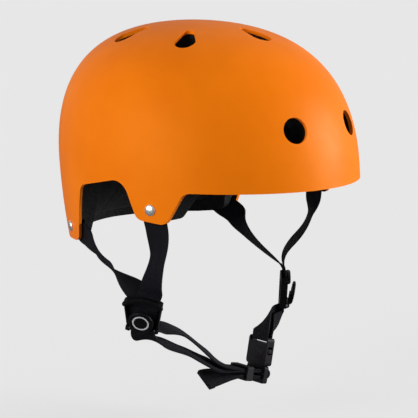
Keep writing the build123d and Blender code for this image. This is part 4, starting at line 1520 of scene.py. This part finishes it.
@dataclass(frozen=True)
class Hardware:
    """The moulded adjusters, the side release buckle and the keeper."""

    edge: float = 0.35
    fine_edge: float = 0.22
    pin_height: float = 3.4
    pin_lift: float = 3.6
    lever_tilt: float = 8.0
    lever_reach: float = 10.0
    disc: float = 21.0
    disc_level: float = 4.7
    rim: float = 0.9
    rim_inset: float = 1.9
    rim_rise: float = 0.32
    rim_sink: float = 0.02
    hood_half: float = 15.2
    hood_arch: float = 5.6
    hood_crest: float = -0.4
    lip: float = 4.2
    lip_depth: float = 4.4
    lip_level: float = 3.4
    grip_levels: tuple = (12.2, 13.2, 14.2)
    grip_reach: float = 12.6
    grip_rib: tuple = (0.7, 0.5, 3.6)
    grip_round: float = 0.15
    panel_height: float = 11.0
    panel_out: float = 4.2
    panel_radius: float = 6.5
    panel_oval: tuple = (1.25, 0.8, 1)
    panel_wall: float = 0.7
    panel_round: float = 0.3

    def lever_plane(self, plane: Plane) -> Plane:
        """The lever's own plane: its origin on the pin, local Y along the lever, local Z out."""
        pin = plane.spot(0, self.pin_height - Harness.adjuster_height / 2, self.pin_lift)
        return Plane.on(pin, plane.across, turned(plane.out, plane.across, self.lever_tilt))

    def disc_rim(self, side: str, plane: Plane, body: Body) -> None:
        """Adds the low raised rim round a lever's disc, turned from a small closed arc.

        Args:
            side: The side's name.
            plane: The adjuster's plane.
            body: The lever's body.
        """
        shape = bmesh.new()
        ring = self.disc / 2 - self.rim_inset
        arc = [(ring + self.rim * cos(radians(turn)), self.rim_rise * sin(radians(turn)) - self.rim_sink)
               for turn in range(180, -1, -20)]
        spun(shape, arc + arc[:1], steps=72)
        turn = self.lever_plane(plane).matrix((0, self.lever_reach, self.disc_level))
        bmesh.ops.transform(shape, matrix=turn, verts=shape.verts)
        bmesh.ops.recalc_face_normals(shape, faces=shape.faces)
        settle(place(f"{side}_disc_rim", shape, PLASTIC), body, Slot.PLASTIC)

    def hood_lip(self, side: str, plane: Plane) -> None:
        """Adds the thick rounded lip along the top of an adjuster's hood.

        Args:
            side: The side's name.
            plane: The adjuster's plane.
        """
        shape = bmesh.new()
        sweep = (self.hood_half**2 + self.hood_arch**2) / (2 * self.hood_arch)
        reach = atan2(self.hood_half, sweep - self.hood_arch)
        ring = bmesh.ops.create_circle(shape, segments=20, radius=0.5)["verts"]
        start = (Matrix.Rotation(reach, 4, "Z") @ Matrix.Translation((0, sweep, 0))
                 @ Matrix.Rotation(pi / 2, 4, "Y") @ Matrix.Diagonal((self.lip_depth, self.lip, 1, 1)))
        bmesh.ops.transform(shape, matrix=start, verts=ring)
        bmesh.ops.spin(shape, geom=ring + shape.edges[:], cent=(0, 0, 0), axis=(0, 0, 1), angle=-2 * reach,
                       steps=36, use_merge=False)
        for turn in (reach, -reach):
            end = (Matrix.Rotation(turn, 4, "Z") @ Matrix.Translation((0, sweep, 0))
                   @ Matrix.Diagonal((self.lip, self.lip, self.lip_depth, 1)))
            bmesh.ops.create_uvsphere(shape, u_segments=20, v_segments=12, radius=0.5, matrix=end)
        crest = Harness.adjuster_height / 2 + self.hood_crest
        seat = plane.matrix((0, crest - sweep, self.lip_level))
        bmesh.ops.transform(shape, matrix=seat, verts=shape.verts)
        bmesh.ops.recalc_face_normals(shape, faces=shape.faces)
        settle(place(f"{side}_hood_lip", shape, PLASTIC), Body.HARNESS, Slot.PLASTIC)

    def adjuster(self, side: str, plane: Plane, body: Body) -> None:
        """Dresses one adjuster with its lever.

        Args:
            side: The side's name.
            plane: The adjuster's plane.
            body: The lever's body.
        """
        rounded(f"{side}_adjuster_frame", Body.HARNESS, PLASTIC, Slot.PLASTIC, self.edge)
        rounded(f"{side}_adjuster_lever", body, PLASTIC, Slot.PLASTIC, self.fine_edge)
        self.disc_rim(side, plane, body)
        self.hood_lip(side, plane)
        recoat(f"{side}_adjuster_pin", STEEL)
        recoat(f"{side}_lever_badge", INLAY)

    def grip(self, name: str, way: int, body: Body) -> None:
        """Adds fine ribs on the outside of a release arm.

        Args:
            name: The piece's name.
            way: 1 on the front arm and -1 on the rear one.
            body: The arm's body.
        """
        shape = bmesh.new()
        for level in self.grip_levels:
            turn = BUCKLE.matrix((way * self.grip_reach, level, 0), self.grip_rib)
            bmesh.ops.create_cube(shape, size=1.0, matrix=turn)
        bevel(shape, shape.edges[:], self.grip_round, segments=2)
        settle(place(name, shape, BUCKLE_PLASTIC), body, Slot.PLASTIC)

    def face_panels(self) -> None:
        """Adds the raised oval panels on both wide faces of the socket."""
        shape = bmesh.new()
        for side in (1, -1):
            turn = BUCKLE.matrix((0, self.panel_height, side * self.panel_out), self.panel_oval)
            made = set(rod(shape, self.panel_radius, self.panel_wall, segments=48, matrix=turn))
            rim = [edge for edge in shape.edges if edge.verts[0] in made and edge.calc_face_angle(0) > 1]
            bevel(shape, rim, self.panel_round, segments=3)
        settle(place("socket_face_panels", shape, BUCKLE_PLASTIC), Body.HARNESS, Slot.PLASTIC)

    def build(self) -> None:
        """Builds the hardware."""
        self.adjuster("right", RIGHT_ADJUSTER, Body.RIGHT_LEVER)
        self.adjuster("left", LEFT_ADJUSTER, Body.LEFT_LEVER)
        for node, body, edge in (("buckle_socket", Body.HARNESS, self.edge),
                                 ("buckle_plug", Body.PLUG, self.edge),
                                 ("release_arm_front", Body.FRONT_ARM, self.fine_edge),
                                 ("release_arm_rear", Body.REAR_ARM, self.fine_edge)):
            rounded(node, body, BUCKLE_PLASTIC, Slot.PLASTIC, edge)
        rounded("strap_keeper", Body.KEEPER, RUBBER, Slot.RUBBER, self.edge)
        self.grip("front_grip_ribs", 1, Body.FRONT_ARM)
        self.grip("rear_grip_ribs", -1, Body.REAR_ARM)
        self.face_panels()


@dataclass(frozen=True)
class Studio:
    """The floor, the lamps, the backdrop and the camera at the photograph's angle."""

    azimuth: float = 49.73
    elevation: float = 8.03
    distance: float = 1496.7
    focal: float = 1744.1
    picture: float = 418.0
    middle: tuple = (203.35, 158.37)
    floor_size: float = 20.0
    floor_drop: float = 28.0
    mirrored: float = 1.6
    pale: tuple = ink(233, 233, 233)

    def floor(self) -> None:
        """Lays the paper under the object, low enough for the released plug."""
        shape = bmesh.new()
        bmesh.ops.create_grid(shape, x_segments=2, y_segments=2, size=self.floor_size / 2 / MM)
        level = cad_box[0][2] / MM - self.floor_drop
        bmesh.ops.translate(shape, vec=(0, 0, level), verts=shape.verts)
        place("floor", shape, StudioPaper())

    def backdrop(self, level: float) -> None:
        """Lights the world plainly, and shows it paler in reflections and to the camera.

        Args:
            level: The strength of its light.
        """
        world = bpy.data.worlds.new("studio")
        bpy.context.scene.world = world
        world.use_nodes = True
        tree = world.node_tree
        path, last = tree.nodes.new("ShaderNodeLightPath"), tree.nodes["Background"]
        last.inputs[0].default_value, last.inputs[1].default_value = (1, 1, 1, 1), level
        for ray, colour, strength in (("Is Glossy Ray", (1, 1, 1, 1), level * self.mirrored),
                                      ("Is Camera Ray", self.pale, 1.0)):
            shown, mix = tree.nodes.new("ShaderNodeBackground"), tree.nodes.new("ShaderNodeMixShader")
            shown.inputs[0].default_value, shown.inputs[1].default_value = colour, strength
            tree.links.new(path.outputs[ray], mix.inputs[0])
            tree.links.new(last.outputs[0], mix.inputs[1])
            tree.links.new(shown.outputs[0], mix.inputs[2])
            last = mix
        tree.links.new(last.outputs[0], tree.nodes["World Output"].inputs[0])

    def lamp(self, name: str, azimuth: float, elevation: float, level: float, spread: float) -> None:
        """Adds a wide, far and soft lamp.

        Args:
            name: The lamp's name.
            azimuth: Its angle round the object, as the camera's.
            elevation: Its angle above the floor.
            level: How bright it makes a white surface that faces it.
            spread: How wide it looks, in degrees.
        """
        lamp = bpy.data.lights.new(name, "SUN")
        lamp.energy = level * pi
        lamp.angle = radians(spread)
        way = self.direction(azimuth, elevation)
        scene_object(name, lamp).rotation_euler = (-way).to_track_quat("-Z", "Y").to_euler()

    @staticmethod
    def direction(azimuth: float, elevation: float) -> Vector:
        """The direction from the object at two angles in degrees."""
        around, up = radians(azimuth), radians(elevation)
        return Vector((cos(around) * cos(up), -sin(around) * cos(up), sin(up)))

    def camera(self) -> None:
        """Sets the camera up as the photograph's."""
        out = self.direction(self.azimuth, self.elevation)
        forward = -out
        right = forward.cross(Vector((0, 0, 1))).normalized()
        up = right.cross(forward)
        aside, down = ((self.picture / 2 - middle) / self.focal for middle in self.middle)
        aim = (forward + right * aside - up * down).normalized()
        lens = bpy.data.cameras.new("photo_camera")
        lens.sensor_width = 36.0
        lens.lens = lens.sensor_width * self.focal / self.picture
        lens.clip_start, lens.clip_end = 0.05, 100.0
        made = scene_object("photo_camera", lens)
        made.location = out * self.distance * MM
        made.rotation_euler = aim.to_track_quat("-Z", "Y").to_euler()
        bpy.context.scene.camera = made

    def build(self) -> None:
        """Builds the studio."""
        bpy.context.scene.view_settings.view_transform = "Standard"
        self.camera()
        self.floor()
        self.backdrop(level=0.25)
        self.lamp("left_lamp", azimuth=103.0, elevation=10.0, level=0.9, spread=45.0)
        self.lamp("right_lamp", azimuth=-44.0, elevation=11.0, level=1.32, spread=32.0)
        log.info("studio set")


def main() -> None:
    """Builds the helmet piece by piece."""
    logging.basicConfig(level=logging.INFO, format="%(message)s")
    Studio().build()
    ShellAssembly().build()
    LinerAssembly().build()
    Harness().build()
    Hardware().build()


if __name__ == "__main__":
    main()
